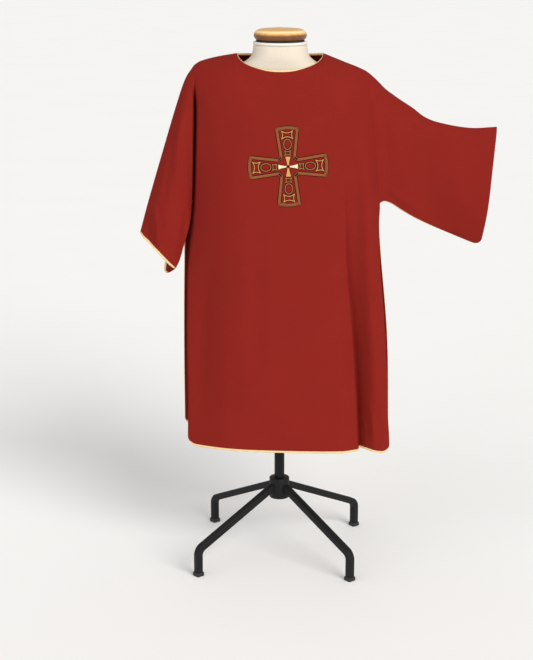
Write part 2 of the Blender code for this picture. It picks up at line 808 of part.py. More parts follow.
def cross_band(cloth, parent):
    """The broad bronze outline of the cross."""
    outer = []
    inner = []
    for quarter in range(4):
        outer += turned_quarter(arm_outline(0.0), quarter)
        inner += turned_quarter(arm_outline(BAND_WIDTH), quarter)
    thread_ribbon("cross_band", outer, inner, cloth, "bronze_thread", parent)


def spool_outline(shape, inset):
    """The outline of a spool of the arm to the right, moved in all round."""
    start = shape.start + inset
    end = shape.end - inset
    half = shape.half_width - inset
    lower = []
    far = []
    upper = []
    near = []
    for n in range(SPOOL_STEPS):
        t = 2.0 * n / SPOOL_STEPS - 1.0
        bow = 1.0 - t * t
        lower.append((between(start, end, (t + 1.0) / 2.0), shape.side_bow * bow - half))
        far.append((end - shape.end_bow * bow, t * half))
        upper.append((between(end, start, (t + 1.0) / 2.0), half - shape.side_bow * bow))
        near.append((start + shape.end_bow * bow, -t * half))
    return lower + far + upper + near


def spool(shape, quarter, cloth, parent):
    """The thread outline of one spool of one arm."""
    name = f"cross_{shape.name}_{ARM_NAMES[quarter]}"
    outer = turned_quarter(spool_outline(shape, 0.0), quarter)
    inner = turned_quarter(spool_outline(shape, THREAD_WIDTH), quarter)
    thread_ribbon(name, outer, inner, cloth, "bronze_thread", parent)


def ring_outline(inset):
    """The oval ring's outline in the arm to the right, moved in all round."""
    outline = []
    for n in range(RING_STEPS):
        turn = 2 * math.pi * n / RING_STEPS
        x = RING_MIDDLE + (RING_HALF_LENGTH - inset) * math.cos(turn)
        outline.append((x, (RING_HALF_WIDTH - inset) * math.sin(turn)))
    return outline


def arm_ring(quarter, cloth, parent):
    """The thread outline of the oval ring of one arm."""
    name = f"cross_ring_{ARM_NAMES[quarter]}"
    outer = turned_quarter(ring_outline(0.0), quarter)
    inner = turned_quarter(ring_outline(THREAD_WIDTH), quarter)
    thread_ribbon(name, outer, inner, cloth, "bronze_thread", parent)


def small_cross(cloth, parent):
    """The little gold cross in the middle, with flared arms."""
    arm = [
        (SMALL_CROSS_ROOT, -SMALL_CROSS_ROOT),
        (SMALL_CROSS_REACH, -SMALL_CROSS_TIP_HALF),
        (SMALL_CROSS_REACH, SMALL_CROSS_TIP_HALF),
    ]
    flat = [point for quarter in range(4) for point in turned_quarter(arm, quarter)]
    count = len(flat)
    base = [cloth.point(x, z, EMBROIDERY_LIFT) for x, z in flat]
    top = [cloth.point(x, z, EMBROIDERY_LIFT + EMBROIDERY_THICKNESS) for x, z in flat]
    faces = [tuple(range(count)), tuple(reversed(range(count, 2 * count)))]
    for i in range(count):
        after = (i + 1) % count
        faces.append((i, after, count + after, count + i))
    mesh_object("cross_middle", base + top, faces, "gold_thread", parent)


# Dress form and stand


def torso(parent):
    """The padded torso, from its flat underside to the top of its neck."""
    points = []
    for ring in TORSO_RINGS:
        for n in range(TORSO_SIDES):
            turn = 2 * math.pi * n / TORSO_SIDES
            c = math.cos(turn)
            s = math.sin(turn)
            power = 2.0 / TORSO_SQUARENESS
            reach = ring.back if s > 0 else ring.front
            x = ring.half_width * math.copysign(abs(c) ** power, c)
            y = reach * math.copysign(abs(s) ** power, s)
            points.append((x, y, ring.height))
    faces = []
    for i in range(len(TORSO_RINGS) - 1):
        for n in range(TORSO_SIDES):
            a = i * TORSO_SIDES + n
            b = i * TORSO_SIDES + (n + 1) % TORSO_SIDES
            faces.append((a, b, b + TORSO_SIDES, a + TORSO_SIDES))
    last = (len(TORSO_RINGS) - 1) * TORSO_SIDES
    faces.append(tuple(reversed(range(TORSO_SIDES))))
    faces.append(tuple(range(last, last + TORSO_SIDES)))
    return mesh_object("torso", points, faces, "linen", parent)


def turned(name, profile, sides, slot, parent, turn=0.0):
    """A round piece from its profile, which starts and ends on the axis."""
    rings = profile[1:-1]
    points = [Vector((0.0, 0.0, profile[0].height)), Vector((0.0, 0.0, profile[-1].height))]
    for ring in rings:
        for n in range(sides):
            angle = turn + 2 * math.pi * n / sides
            points.append(
                Vector((ring.radius * math.cos(angle), ring.radius * math.sin(angle), ring.height))
            )
    faces = []
    for n in range(sides):
        after = (n + 1) % sides
        faces.append((0, 2 + after, 2 + n))
        for i in range(len(rings) - 1):
            a = 2 + i * sides
            faces.append((a + n, a + after, a + sides + after, a + sides + n))
        last = 2 + (len(rings) - 1) * sides
        faces.append((1, last + n, last + after))
    return mesh_object(name, points, faces, slot, parent)


def leg_path():
    """A leg's middle line, as distances from the pole and heights."""
    start = Vector((HUB_RADIUS + SEAM_GAP, LEG_START_HEIGHT))
    knee = Vector((LEG_REACH, LEG_KNEE_HEIGHT))
    slope = (knee - start).normalized()
    down = Vector((0.0, -1.0))
    half_turn = slope.angle(down) / 2
    tangent = LEG_BEND_RADIUS * math.tan(half_turn)
    first = knee - slope * tangent
    centre = knee + Vector((-LEG_BEND_RADIUS, -tangent))
    begin = first - centre
    path = [start]
    for n in range(LEG_BEND_STEPS + 1):
        turn = Matrix.Rotation(-2 * half_turn * n / LEG_BEND_STEPS, 2)
        path.append(centre + turn @ begin)
    path.append(Vector((LEG_REACH, FOOT_HEIGHT + SEAM_GAP)))
    return path


def leg_mesh():
    """A bent square tube's outer form, pointing to +X from the pole's axis."""
    path = leg_path()
    half = LEG_SIZE / 2
    points = []
    for i, point in enumerate(path):
        before = (point - path[max(0, i - 1)]).normalized()
        after = (path[min(len(path) - 1, i + 1)] - point).normalized()
        run = (before + after).normalized()
        across = Vector((-run.y, run.x)) * half
        if i == 0:
            across = Vector((0.0, half / run.x))
        for up, side in ((1, -1), (1, 1), (-1, 1), (-1, -1)):
            points.append((point.x + across.x * up, side * half, point.y + across.y * up))
    faces = [(3, 2, 1, 0)]
    for i in range(len(path) - 1):
        for n in range(4):
            a = 4 * i + n
            b = 4 * i + (n + 1) % 4
            faces.append((a, b, b + 4, a + 4))
    last = 4 * (len(path) - 1)
    faces.append((last, last + 1, last + 2, last + 3))
    return points, faces


def legs(parent):
    """Four legs round the hub, each with a foot cap under it."""
    points, faces = leg_mesh()
    for n, name in enumerate(LEG_NAMES):
        turn = LEG_TURN + math.pi / 4 + n * math.pi / 2
        leg = mesh_object(f"leg_{name}", points, faces, "black_metal", parent, METAL_SMOOTH_ANGLE)
        leg.rotation_euler = (0.0, 0.0, turn)
        foot = foot_cap(f"foot_{name}", parent)
        foot.location = (LEG_REACH * math.cos(turn), LEG_REACH * math.sin(turn), 0.0)
        foot.rotation_euler = (0.0, 0.0, turn)


def foot_cap(name, parent):
    """A square cap that stands on the floor, with its upper edges bevelled."""
    half = FOOT_SIZE / 2
    levels = ((half, 0.0), (half, FOOT_HEIGHT - FOOT_BEVEL), (half - FOOT_BEVEL, FOOT_HEIGHT))
    corners = ((-1, -1), (1, -1), (1, 1), (-1, 1))
    points = [(x * size, y * size, z) for size, z in levels for x, y in corners]
    faces = [(3, 2, 1, 0), (8, 9, 10, 11)]
    for i in (0, 4):
        for n in range(4):
            after = (n + 1) % 4
            faces.append((i + n, i + after, i + 4 + after, i + 4 + n))
    return mesh_object(name, points, faces, "black_plastic", parent, METAL_SMOOTH_ANGLE)


def garment(parent):
    """The panels, the sleeves, their piping and the embroidered cross."""
    front_columns = panel_columns(LEFT_COLUMNS, FRONT_NECK_COLUMNS, RIGHT_COLUMNS)
    back_columns = panel_columns(LEFT_COLUMNS, BACK_NECK_COLUMNS, RIGHT_COLUMNS)
    front = panel_grid(
        FRONT_SECTIONS, FRONT_FOLDS, FRONT_ARCH, front_columns, NECK_FRONT_REACH, NECK_FRONT_DROP, -1
    )
    back = panel_grid(
        BACK_SECTIONS, BACK_FOLDS, BACK_ARCH, back_columns, NECK_BACK_REACH, NECK_BACK_DROP, 1
    )
    seam_rows = range(ROWS_TO_ARMPIT + 1)
    raised = sleeve_grid(
        [front[i][-1] for i in seam_rows],
        [back[i][-1] for i in seam_rows],
        RAISED_TOP, raised_cuff, raised_lower_edge, RAISED_STATIONS, SEAM_GAP,
    )
    hanging = sleeve_grid(
        without_crease([front[i][0] for i in seam_rows], -1),
        without_crease([back[i][0] for i in seam_rows], 1),
        HANGING_TOP, hanging_cuff, hanging_lower_edge, HANGING_STATIONS, -SEAM_GAP,
    )
    add_crease(hanging)
    front_normals = outward_normals(front, 1)
    back_normals = outward_normals(back, -1)
    raised_normals = outward_normals(raised, 1)
    hanging_normals = outward_normals(hanging, -1)
    share_seams(front, back, front_normals, back_normals, raised_normals, hanging_normals)
    cloth_wall("front_panel", front, front_normals, "red_cloth", parent)
    cloth_wall("back_panel", back, back_normals, "red_cloth", parent)
    cloth_wall("raised_sleeve", raised, raised_normals, "red_cloth", parent)
    cloth_wall("hanging_sleeve", hanging, hanging_normals, "red_cloth", parent)

    for name, grid, normals in (
        ("front_edge_piping", front, front_normals),
        ("back_edge_piping", back, back_normals),
    ):
        run = rim_points(grid, normals, edge_run(len(grid), len(grid[0])))
        piping(name, shortened(run, PIPING_END_GAP), parent)
    for name, grid, normals, gap in (
        ("raised_sleeve_piping", raised, raised_normals, PIPING_END_GAP),
        ("hanging_sleeve_piping", hanging, hanging_normals, HANGING_PIPING_END_GAP),
    ):
        run = rim_points(grid, normals, sleeve_run(len(grid), len(grid[0])))
        piping(name, shortened(run, gap), parent)
    front_neck = rim_points(front, front_normals, neck_run(front_columns, front))
    back_neck = rim_points(back, back_normals, neck_run(back_columns, back))
    piping("neck_piping", front_neck[:-1] + list(reversed(back_neck))[:-1], parent, closed=True)

    cloth = ChestCloth(front)
    cross_band(cloth, parent)
    for quarter in range(4):
        for shape in SPOOLS:
            spool(shape, quarter, cloth, parent)
        arm_ring(quarter, cloth, parent)
    small_cross(cloth, parent)


def share_seams(front, back, front_normals, back_normals, raised_normals, hanging_normals):
    """One normal for all the points that meet at a place of a shoulder seam or an armhole."""
    middle = ROWS_TO_ARMPIT
    for i in range(1, ROWS_TO_ARMPIT + 1):
        share_normals((front_normals, i, -1), (raised_normals, 0, middle - i))
        share_normals((back_normals, i, -1), (raised_normals, 0, middle + i))
        share_normals((front_normals, i, 0), (hanging_normals, 0, middle - i))
        share_normals((back_normals, i, 0), (hanging_normals, 0, middle + i))
    share_normals((front_normals, 0, -1), (back_normals, 0, -1), (raised_normals, 0, middle))
    share_normals((front_normals, 0, 0), (back_normals, 0, 0), (hanging_normals, 0, middle))
    for j, point in enumerate(front[0][1:-1], 1):
        for k, other in enumerate(back[0][1:-1], 1):
            if abs(point.x) > NECK_HALF_WIDTH - 1e-6 and abs(point.x - other.x) < 1e-6:
                share_normals((front_normals, 0, j), (back_normals, 0, k))


def dress_form(parent):
    """The torso, what closes its neck, and the stand that carries it."""
    torso(parent)
    turned("neck_trim", NECK_TRIM, TURNED_SIDES, "white_trim", parent)
    turned("neck_plate", NECK_PLATE, TURNED_SIDES, "black_plastic", parent)
    turned("neck_cap", NECK_CAP, TURNED_SIDES, "cap_wood", parent)
    turned("base_plate", BASE_PLATE, TURNED_SIDES, "cap_wood", parent)
    turned("pole", POLE, POLE_SIDES, "black_metal", parent)
    turned("hub", HUB, HUB_SIDES, "black_metal", parent)
    legs(parent)


def main():
    clear_scene()
    middle = bpy.data.objects.new("form_axis", None)
    middle.location = (*FORM_AXIS, 0.0)
    bpy.context.scene.collection.objects.link(middle)
    dress_form(middle)
    garment(middle)


main()
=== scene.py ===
"""The looks of a dalmatic worn by a limbless dress form on a four-legged stand.

Metres, +Z up. The front faces -Y and the raised sleeve points to +X. Shapes are worked out
round the form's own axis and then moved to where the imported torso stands.
"""

import logging
import math
from dataclasses import dataclass, field
from enum import Enum
from functools import cache
from typing import Any, Iterable, Mapping, NamedTuple, Optional, Sequence, Union

import bpy
import numpy as np
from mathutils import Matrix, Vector
from mathutils.bvhtree import BVHTree

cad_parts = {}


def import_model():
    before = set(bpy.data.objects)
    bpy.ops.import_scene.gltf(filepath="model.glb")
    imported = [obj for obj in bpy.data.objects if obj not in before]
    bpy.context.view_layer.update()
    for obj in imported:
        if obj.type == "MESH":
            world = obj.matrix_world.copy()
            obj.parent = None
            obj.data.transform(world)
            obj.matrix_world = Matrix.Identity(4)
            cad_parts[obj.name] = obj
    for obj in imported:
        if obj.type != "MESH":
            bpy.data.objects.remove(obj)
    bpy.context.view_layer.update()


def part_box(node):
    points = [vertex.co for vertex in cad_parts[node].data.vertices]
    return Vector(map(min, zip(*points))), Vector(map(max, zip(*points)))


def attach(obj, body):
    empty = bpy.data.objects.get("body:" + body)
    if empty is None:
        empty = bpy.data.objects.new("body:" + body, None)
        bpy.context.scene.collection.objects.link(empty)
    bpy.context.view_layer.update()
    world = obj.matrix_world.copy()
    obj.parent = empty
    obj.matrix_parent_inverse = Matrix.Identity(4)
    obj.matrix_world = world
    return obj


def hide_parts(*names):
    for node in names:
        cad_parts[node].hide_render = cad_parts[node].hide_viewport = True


LOG = logging.getLogger("dalmatic")
BODY = "root"
CLOTH_PLACE = "cloth_place"
THREAD_PLACE = "thread_place"

Array = np.ndarray
Colour = tuple[float, float, float]


# Numbers and curves


def eased(t: Array) -> Array:
    """Go smoothly from 0 at zero to 1 at one, and stay level beyond."""
    t = np.clip(t, 0.0, 1.0)
    return t * t * (3.0 - 2.0 * t)


def bell(t: Array) -> Array:
    """One at zero, falling smoothly to nothing at one, on both sides."""
    return 1.0 - eased(np.abs(t))


def between(a: Any, b: Any, t: Any) -> Any:
    """The value at fraction t of the way from a to b."""
    return a + (b - a) * t


def unit(vectors: Array) -> Array:
    """The vectors, each made one long."""
    return vectors / np.linalg.norm(vectors, axis=-1)[..., None]


def circle(steps: int) -> Array:
    """Points at equal turns round a circle with a radius of 1."""
    turns = 2.0 * math.pi * np.arange(steps) / steps
    return np.stack([np.cos(turns), np.sin(turns)], axis=1)


def smoothed(points: Array, rounds: int, closed: bool) -> Array:
    """A run of points with its corners rounded a little, and its ends kept unless it is closed.

    Args:
        points: The run.
        rounds: How many times it is smoothed.
        closed: Whether its last point joins its first.

    Returns:
        The new run.
    """
    for _ in range(rounds):
        smooth = (np.roll(points, 1, axis=0) + points * 2.0 + np.roll(points, -1, axis=0)) / 4.0
        if not closed:
            smooth[[0, -1]] = points[[0, -1]]
        points = smooth
    return points


def swung(out: Array, side: Array, height: Array, turn: float) -> Array:
    """Points from how far out, to the side and up they are, turned about the upright axis."""
    c, s = math.cos(turn), math.sin(turn)
    return np.stack([out * c - side * s, out * s + side * c, height], axis=-1)


class SmoothCurve:
    """A smooth curve through rows of values, one row for each key, level beyond its ends."""

    def __init__(self, keys: Sequence[float], rows: Sequence[Sequence[float]]) -> None:
        """Keep the rows and the slope at each key.

        Args:
            keys: Rising numbers.
            rows: The values at each key.
        """
        self.keys = np.array(keys, float)
        self.rows = np.array(rows, float)
        index = np.arange(len(self.keys))
        before = np.maximum(index - 1, 0)
        after = np.minimum(index + 1, len(self.keys) - 1)
        span = (self.keys[after] - self.keys[before])[:, None]
        self.slopes = (self.rows[after] - self.rows[before]) / span

    def at(self, key: Any) -> Array:
        """The values at a key or at an array of keys.

        Args:
            key: Where on the curve.

        Returns:
            An array with one more axis than key, for the columns of a row.
        """
        key = np.clip(np.asarray(key, float), self.keys[0], self.keys[-1])
        i = np.clip(np.searchsorted(self.keys, key, side="right") - 1, 0, len(self.keys) - 2)
        span = (self.keys[i + 1] - self.keys[i])[..., None]
        t = (key - self.keys[i])[..., None] / span
        start = self.slopes[i] * span
        end = self.slopes[i + 1] * span
        return (
            self.rows[i] * (1 + 2 * t) * (1 - t) ** 2
            + start * t * (1 - t) ** 2
            + self.rows[i + 1] * t * t * (3 - 2 * t)
            + end * t * t * (t - 1)
        )


class SmoothPath:
    """A smooth curve through points, read by the fraction of its length."""

    def __init__(self, points: Sequence[Sequence[float]]) -> None:
        """Measure the run.

        Args:
            points: The points that it goes through.
        """
        rows = np.array(points, float)
        keys = running_length(rows, 0)
        self.length = float(keys[-1])
        self.curve = SmoothCurve(keys, rows)

    def at(self, t: Any) -> Array:
        """The points at the fractions t of the length."""
        return self.curve.at(np.asarray(t, float) * self.length)


def rounded(to_side: Array, to_end: Array, radius: float) -> tuple[Array, Array]:
    """Move the distances to the two edges of a square corner so that the corner is round.

    Args:
        to_side: Distances to one edge.
        to_end: Distances to the other.
        radius: The corner's radius.

    Returns:
        The two moved distances.
    """
    near = (to_side < radius) & (to_end < radius)
    p = np.where(near, 1.0 - to_side / radius, 0.0)
    q = np.where(near, 1.0 - to_end / radius, 0.0)
    round_side = radius * (1.0 - p * np.sqrt(1.0 - q * q / 2.0))
    round_end = radius * (1.0 - q * np.sqrt(1.0 - p * p / 2.0))
    return np.where(near, round_side, to_side), np.where(near, round_end, to_end)


def refined(fractions: Sequence[float], step: float) -> Array:
    """Split the gaps of a rising run of fractions so that none is wider than a step.

    Args:
        fractions: Rising numbers.
        step: The widest gap that is left.

    Returns:
        The numbers with more between them.
    """
    made = [fractions[0]]
    for first, second in zip(fractions, fractions[1:]):
        count = max(1, math.ceil((second - first) / step))
        made += [between(first, second, (n + 1) / count) for n in range(count)]
    return np.array(made)


def running_length(points: Array, axis: int) -> Array:
    """How far along an axis of a grid of points each point is, in metres.

    Args:
        points: The grid, or one run of points.
        axis: Along which axis it is measured.

    Returns:
        The length so far at each point, from 0.
    """
    steps = np.linalg.norm(np.diff(points, axis=axis), axis=-1)
    total = np.cumsum(steps, axis=axis)
    shape = list(total.shape)
    shape[axis] = 1
    return np.concatenate([np.zeros(shape), total], axis=axis)


# Materials. In a finish, a number beside a pattern is its share, and a scale is for each metre.


class Wire:
    """A value inside a material, with arithmetic that adds Math nodes."""

    def __init__(self, dye: "DyePot", socket: bpy.types.NodeSocket) -> None:
        """Hold an output socket and the material that it is in."""
        self.dye = dye
        self.socket = socket

    def __add__(self, other: Union["Wire", float]) -> "Wire":
        """The sum."""
        return self.dye.maths("ADD", self, other)

    def __radd__(self, other: float) -> "Wire":
        """The sum with a number first."""
        return self.dye.maths("ADD", other, self)

    def __sub__(self, other: Union["Wire", float]) -> "Wire":
        """The difference."""
        return self.dye.maths("SUBTRACT", self, other)

    def __rsub__(self, other: float) -> "Wire":
        """The difference from a number."""
        return self.dye.maths("SUBTRACT", other, self)

    def __mul__(self, other: Union["Wire", float]) -> "Wire":
        """The product."""
        return self.dye.maths("MULTIPLY", self, other)

    def __rmul__(self, other: float) -> "Wire":
        """The product with a number first."""
        return self.dye.maths("MULTIPLY", other, self)

    def __abs__(self) -> "Wire":
        """The value without its sign."""
        return self.dye.maths("ABSOLUTE", self)

    def sine(self) -> "Wire":
        """The sine of the value."""
        return self.dye.maths("SINE", self)

    def above(self, low: float, high: float) -> "Wire":
        """Nothing below low, rising smoothly to 1 at high.

        Args:
            low: Where it begins to rise.
            high: Where it is 1.

        Returns:
            The new value.
        """
        node = self.dye.node(
            "ShaderNodeMapRange",
            {"interpolation_type": "SMOOTHSTEP"},
            {"Value": self, "From Min": low, "From Max": high},
        )
        return Wire(self.dye, node.outputs["Result"])

    def near(self, middle: float, reach: float) -> "Wire":
        """One where the value is at the middle, falling to nothing at reach from it."""
        return 1.0 - abs(self - middle).above(0.0, reach)


Input = Union[Wire, float, Sequence[float]]


class DyePot:
    """Builds one material out of shader nodes."""

    def __init__(self, name: str) -> None:
        """Start the material with its shader and output.

        Args:
            name: The material's name.
        """
        self.material = bpy.data.materials.new(f"{name}_finish")
        self.material.use_nodes = True
        self.tree = self.material.node_tree
        self.shader = self.tree.nodes["Principled BSDF"]

    def node(
        self, kind: str, settings: Mapping[str, Any], inputs: Mapping[Union[str, int], Input]
    ) -> bpy.types.Node:
        """Add one node.

        Args:
            kind: The node's type.
            settings: Its settings, or the stops of its ramp, which are set first.
            inputs: What goes into its sockets: values, or wires from other nodes.

        Returns:
            The new node.
        """
        made = self.tree.nodes.new(kind)
        for key, value in settings.items():
            if key == "stops":
                self.set_stops(made.color_ramp, value)
            else:
                setattr(made, key, value)
        for key, value in inputs.items():
            if isinstance(value, Wire):
                self.tree.links.new(value.socket, made.inputs[key])
            else:
                made.inputs[key].default_value = value
        return made

    def set_stops(
        self, ramp: bpy.types.ColorRamp, stops: Sequence[tuple[float, Colour]]
    ) -> None:
        """Give a ramp its stops, each a place and a colour.

        Args:
            ramp: The ramp.
            stops: The places, which rise from 0 to 1, and the colours.
        """
        while len(ramp.elements) < len(stops):
            ramp.elements.new(0.5)
        for element, (place, colour) in zip(ramp.elements, stops):
            element.position = place
            element.color = (*colour, 1.0)

    def maths(self, operation: str, *values: Union[Wire, float]) -> Wire:
        """The result of a Math node on values."""
        node = self.node("ShaderNodeMath", {"operation": operation}, dict(enumerate(values)))
        return Wire(self, node.outputs[0])

    def mixed(self, amount: Union[Wire, float], first: Any, second: Any) -> Wire:
        """A colour between two colours.

        Args:
            amount: From 0, all the first, to 1, all the second.
            first: A colour or a wire that carries one.
            second: The other.

        Returns:
            The mixed colour.
        """
        first = first if isinstance(first, Wire) else (*first, 1.0)
        second = second if isinstance(second, Wire) else (*second, 1.0)
        node = self.node(
            "ShaderNodeMix", {"data_type": "RGBA"}, {0: amount, 6: first, 7: second}
        )
        return Wire(self, node.outputs[2])

    def parts(self, vector: Wire) -> tuple[Wire, Wire, Wire]:
        """The three parts of a vector."""
        node = self.node("ShaderNodeSeparateXYZ", {}, {0: vector})
        return tuple(Wire(self, output) for output in node.outputs)

    def joined(self, x: Input, y: Input, z: Input) -> Wire:
        """A vector from three values."""
        node = self.node("ShaderNodeCombineXYZ", {}, {0: x, 1: y, 2: z})
        return Wire(self, node.outputs[0])

    def stretched(self, vector: Wire, amounts: Sequence[float]) -> Wire:
        """A vector with each part multiplied by an amount."""
        node = self.node(
            "ShaderNodeVectorMath", {"operation": "MULTIPLY"}, {0: vector, 1: amounts}
        )
        return Wire(self, node.outputs[0])

    def crossed(self, u: Wire, v: Wire, pitch: float) -> Wire:
        """Threads that cross at a pitch: 1 on top of a crossing and 0 between crossings."""
        turn = 2.0 * math.pi / pitch
        return (u * turn).sine() * (v * turn).sine() * 0.5 + 0.5

    def attribute(self, name: str) -> Wire:
        """The vector that a piece's points hold under a name."""
        node = self.node("ShaderNodeAttribute", {"attribute_name": name}, {})
        return Wire(self, node.outputs["Vector"])

    def object_place(self) -> Wire:
        """Where a point is on its object, in metres."""
        node = self.node("ShaderNodeTexCoord", {}, {})
        return Wire(self, node.outputs["Object"])

    def noise(self, place: Wire, scale: float, detail: float = 2.0) -> Wire:
        """Even noise round 0.5.

        Args:
            place: Where it is read.
            scale: How many bumps there are in a metre.
            detail: How many finer layers it has.

        Returns:
            The noise.
        """
        node = self.node(
            "ShaderNodeTexNoise", {}, {"Vector": place, "Scale": scale, "Detail": detail}
        )
        return Wire(self, node.outputs[0])

    def bumped(self, height: Wire, distance: float, strength: float = 1.0) -> Wire:
        """A normal from a height.

        Args:
            height: From 0 to 1.
            distance: What 1 stands for, in metres.
            strength: How much of it shows.

        Returns:
            The normal.
        """
        node = self.node(
            "ShaderNodeBump", {}, {"Height": height, "Distance": distance, "Strength": strength}
        )
        return Wire(self, node.outputs[0])

    def dress(self, inputs: Mapping[str, Input]) -> bpy.types.Material:
        """Fill the shader's own sockets.

        Args:
            inputs: Values or wires, by socket.

        Returns:
            The finished material.
        """
        for key, value in inputs.items():
            if isinstance(value, Wire):
                self.tree.links.new(value.socket, self.shader.inputs[key])
            else:
                self.shader.inputs[key].default_value = value
        return self.material


@dataclass(frozen=True)
class WovenCloth:
    """A heavy, matte, plainly woven cloth, read in metres from its own length and width."""

    name: str
    colour: Colour
    deep_colour: Colour
    thread_pitch: float = 0.0011
    slub_width: float = 0.0016
    slub_length: float = 0.045
    mottle_size: float = 0.13
    grain_scale: float = 900.0
    roughness: float = 0.78
    specular: float = 0.035
    relief: float = 0.00022
    allowance_width: float = 0.011
    ridge_width: float = 0.0012
    edge_width: float = 0.0015

    def material(self) -> bpy.types.Material:
        """Make the material.

        Returns:
            The finished material.
        """
        dye = DyePot(self.name)
        u, v, edge = dye.parts(dye.attribute(CLOTH_PLACE))
        weave = dye.crossed(u, v, self.thread_pitch)
        flat = dye.joined(u, v, 0.0)
        thin, long = 1.0 / self.slub_width, 1.0 / self.slub_length
        warp = dye.noise(dye.stretched(flat, (thin, long, 1.0)), 1.0)
        weft = dye.noise(dye.stretched(flat, (long, thin, 1.0)), 1.0)
        mottle = dye.noise(flat, 1.0 / self.mottle_size, 3.0)
        grain = dye.noise(flat, self.grain_scale, 1.0)
        depth = 1.15 - weave * 0.2 - warp * 0.35 - weft * 0.35 - mottle * 0.45 - grain * 0.15
        colour = dye.mixed(depth.above(0.0, 1.0), self.colour, self.deep_colour)
        ridge = edge.near(self.allowance_width, self.ridge_width)
        seam = ridge * 0.5 + edge.above(self.edge_width, 0.0) * 1.6
        height = weave + warp * 0.6 + weft * 0.6 - seam * 0.9
        return dye.dress(
            {
                "Base Color": colour,
                "Roughness": self.roughness - weave * 0.06 + grain * 0.08,
                "Normal": dye.bumped(height, self.relief, 0.85),
                "Specular IOR Level": self.specular,
            }
        )


@dataclass(frozen=True)
class SatinThread:
    """Shiny thread, as satin stitches across a run or as the strands of a twisted cord, with
    painted highlights on its strands and painted shade between them and along a run's edges.
    """

    name: str
    colour: Colour
    # light_colour is the painted highlight on the strands.
    light_colour: Colour
    # deep_colour is partly random deep tone and partly painted shade between strands and along
    # edges.
    deep_colour: Colour
    stitch_pitch: float
    slant: float
    roughness: float = 0.42
    metallic: float = 0.2
    relief: float = 0.0003
    specular: float = 0.25
    across_scale: float = 1.5

    def material(self) -> bpy.types.Material:
        """Make the material.

        Returns:
            The finished material.
        """
        dye = DyePot(self.name)
        along, across, edge = dye.parts(dye.attribute(THREAD_PLACE))
        turn = along * (2.0 * math.pi / self.stitch_pitch) + across * self.slant
        strand = turn.sine() * 0.5 + 0.5
        place = dye.joined(along * (1.0 / self.stitch_pitch), across * self.across_scale, 0.0)
        tone = dye.noise(place, 0.8, 2.0)
        # Painted highlight: the strands' crests, spread at random, go towards light_colour.
        glint = (tone * 0.65 + strand * 0.45).above(0.45, 0.95)
        # Partly random tone, partly painted shade in the grooves between strands.
        deep = (1.0 - tone * 0.8 - strand * 0.5).above(0.2, 0.8)
        colour = dye.mixed(deep, self.colour, self.deep_colour)
        colour = dye.mixed(glint * 0.8, colour, self.light_colour)
        # Painted shade along the rounded edges of a stitched run; a cord's edge value is nothing.
        colour = dye.mixed(edge * 0.75, colour, self.deep_colour)
        return dye.dress(
            {
                "Base Color": colour,
                "Roughness": self.roughness + tone * 0.2,
                "Metallic": self.metallic,
                "Normal": dye.bumped(strand + tone * 0.5, self.relief, 0.9),
                "Specular IOR Level": self.specular,
            }
        )


@dataclass(frozen=True)
class StretchedLinen:
    """Cream linen drawn tight over padding, read from the object's own place."""

    name: str
    colour: Colour
    deep_colour: Colour
    pitch: float = 0.0013
    slub_scale: float = 600.0
    slub_run_scale: float = 30.0
    mottle_scale: float = 7.0
    seam_width: float = 0.0016
    relief: float = 0.00025

    def material(self) -> bpy.types.Material:
        """Make the material.

        Returns:
            The finished material.
        """
        dye = DyePot(self.name)
        u, v, seam = dye.parts(dye.attribute(CLOTH_PLACE))
        weave = dye.crossed(u, v, self.pitch)
        flat = dye.joined(u, v, 0.0)
        thin, long = self.slub_scale, self.slub_run_scale
        slub = dye.noise(dye.stretched(flat, (thin, long, 1.0)), 1.0)
        cross_slub = dye.noise(dye.stretched(flat, (long, thin, 1.0)), 1.0)
        mottle = dye.noise(flat, self.mottle_scale, 3.0)
        tone = 1.0 - weave * 0.25 - slub * 0.35 - cross_slub * 0.35 - mottle * 0.3
        line = seam.near(0.0, self.seam_width)
        colour = dye.mixed(tone.above(0.0, 0.9), self.colour, self.deep_colour)
        colour = dye.mixed(line * 0.7, colour, self.deep_colour)
        height = weave + slub * 0.8 + cross_slub * 0.8 - line * 5.0
        return dye.dress(
            {
                "Base Color": colour,
                "Roughness": 0.9 - weave * 0.06,
                "Normal": dye.bumped(height, self.relief, 0.9),
                "Sheen Weight": 0.12,
                "Specular IOR Level": 0.2,
            }
        )


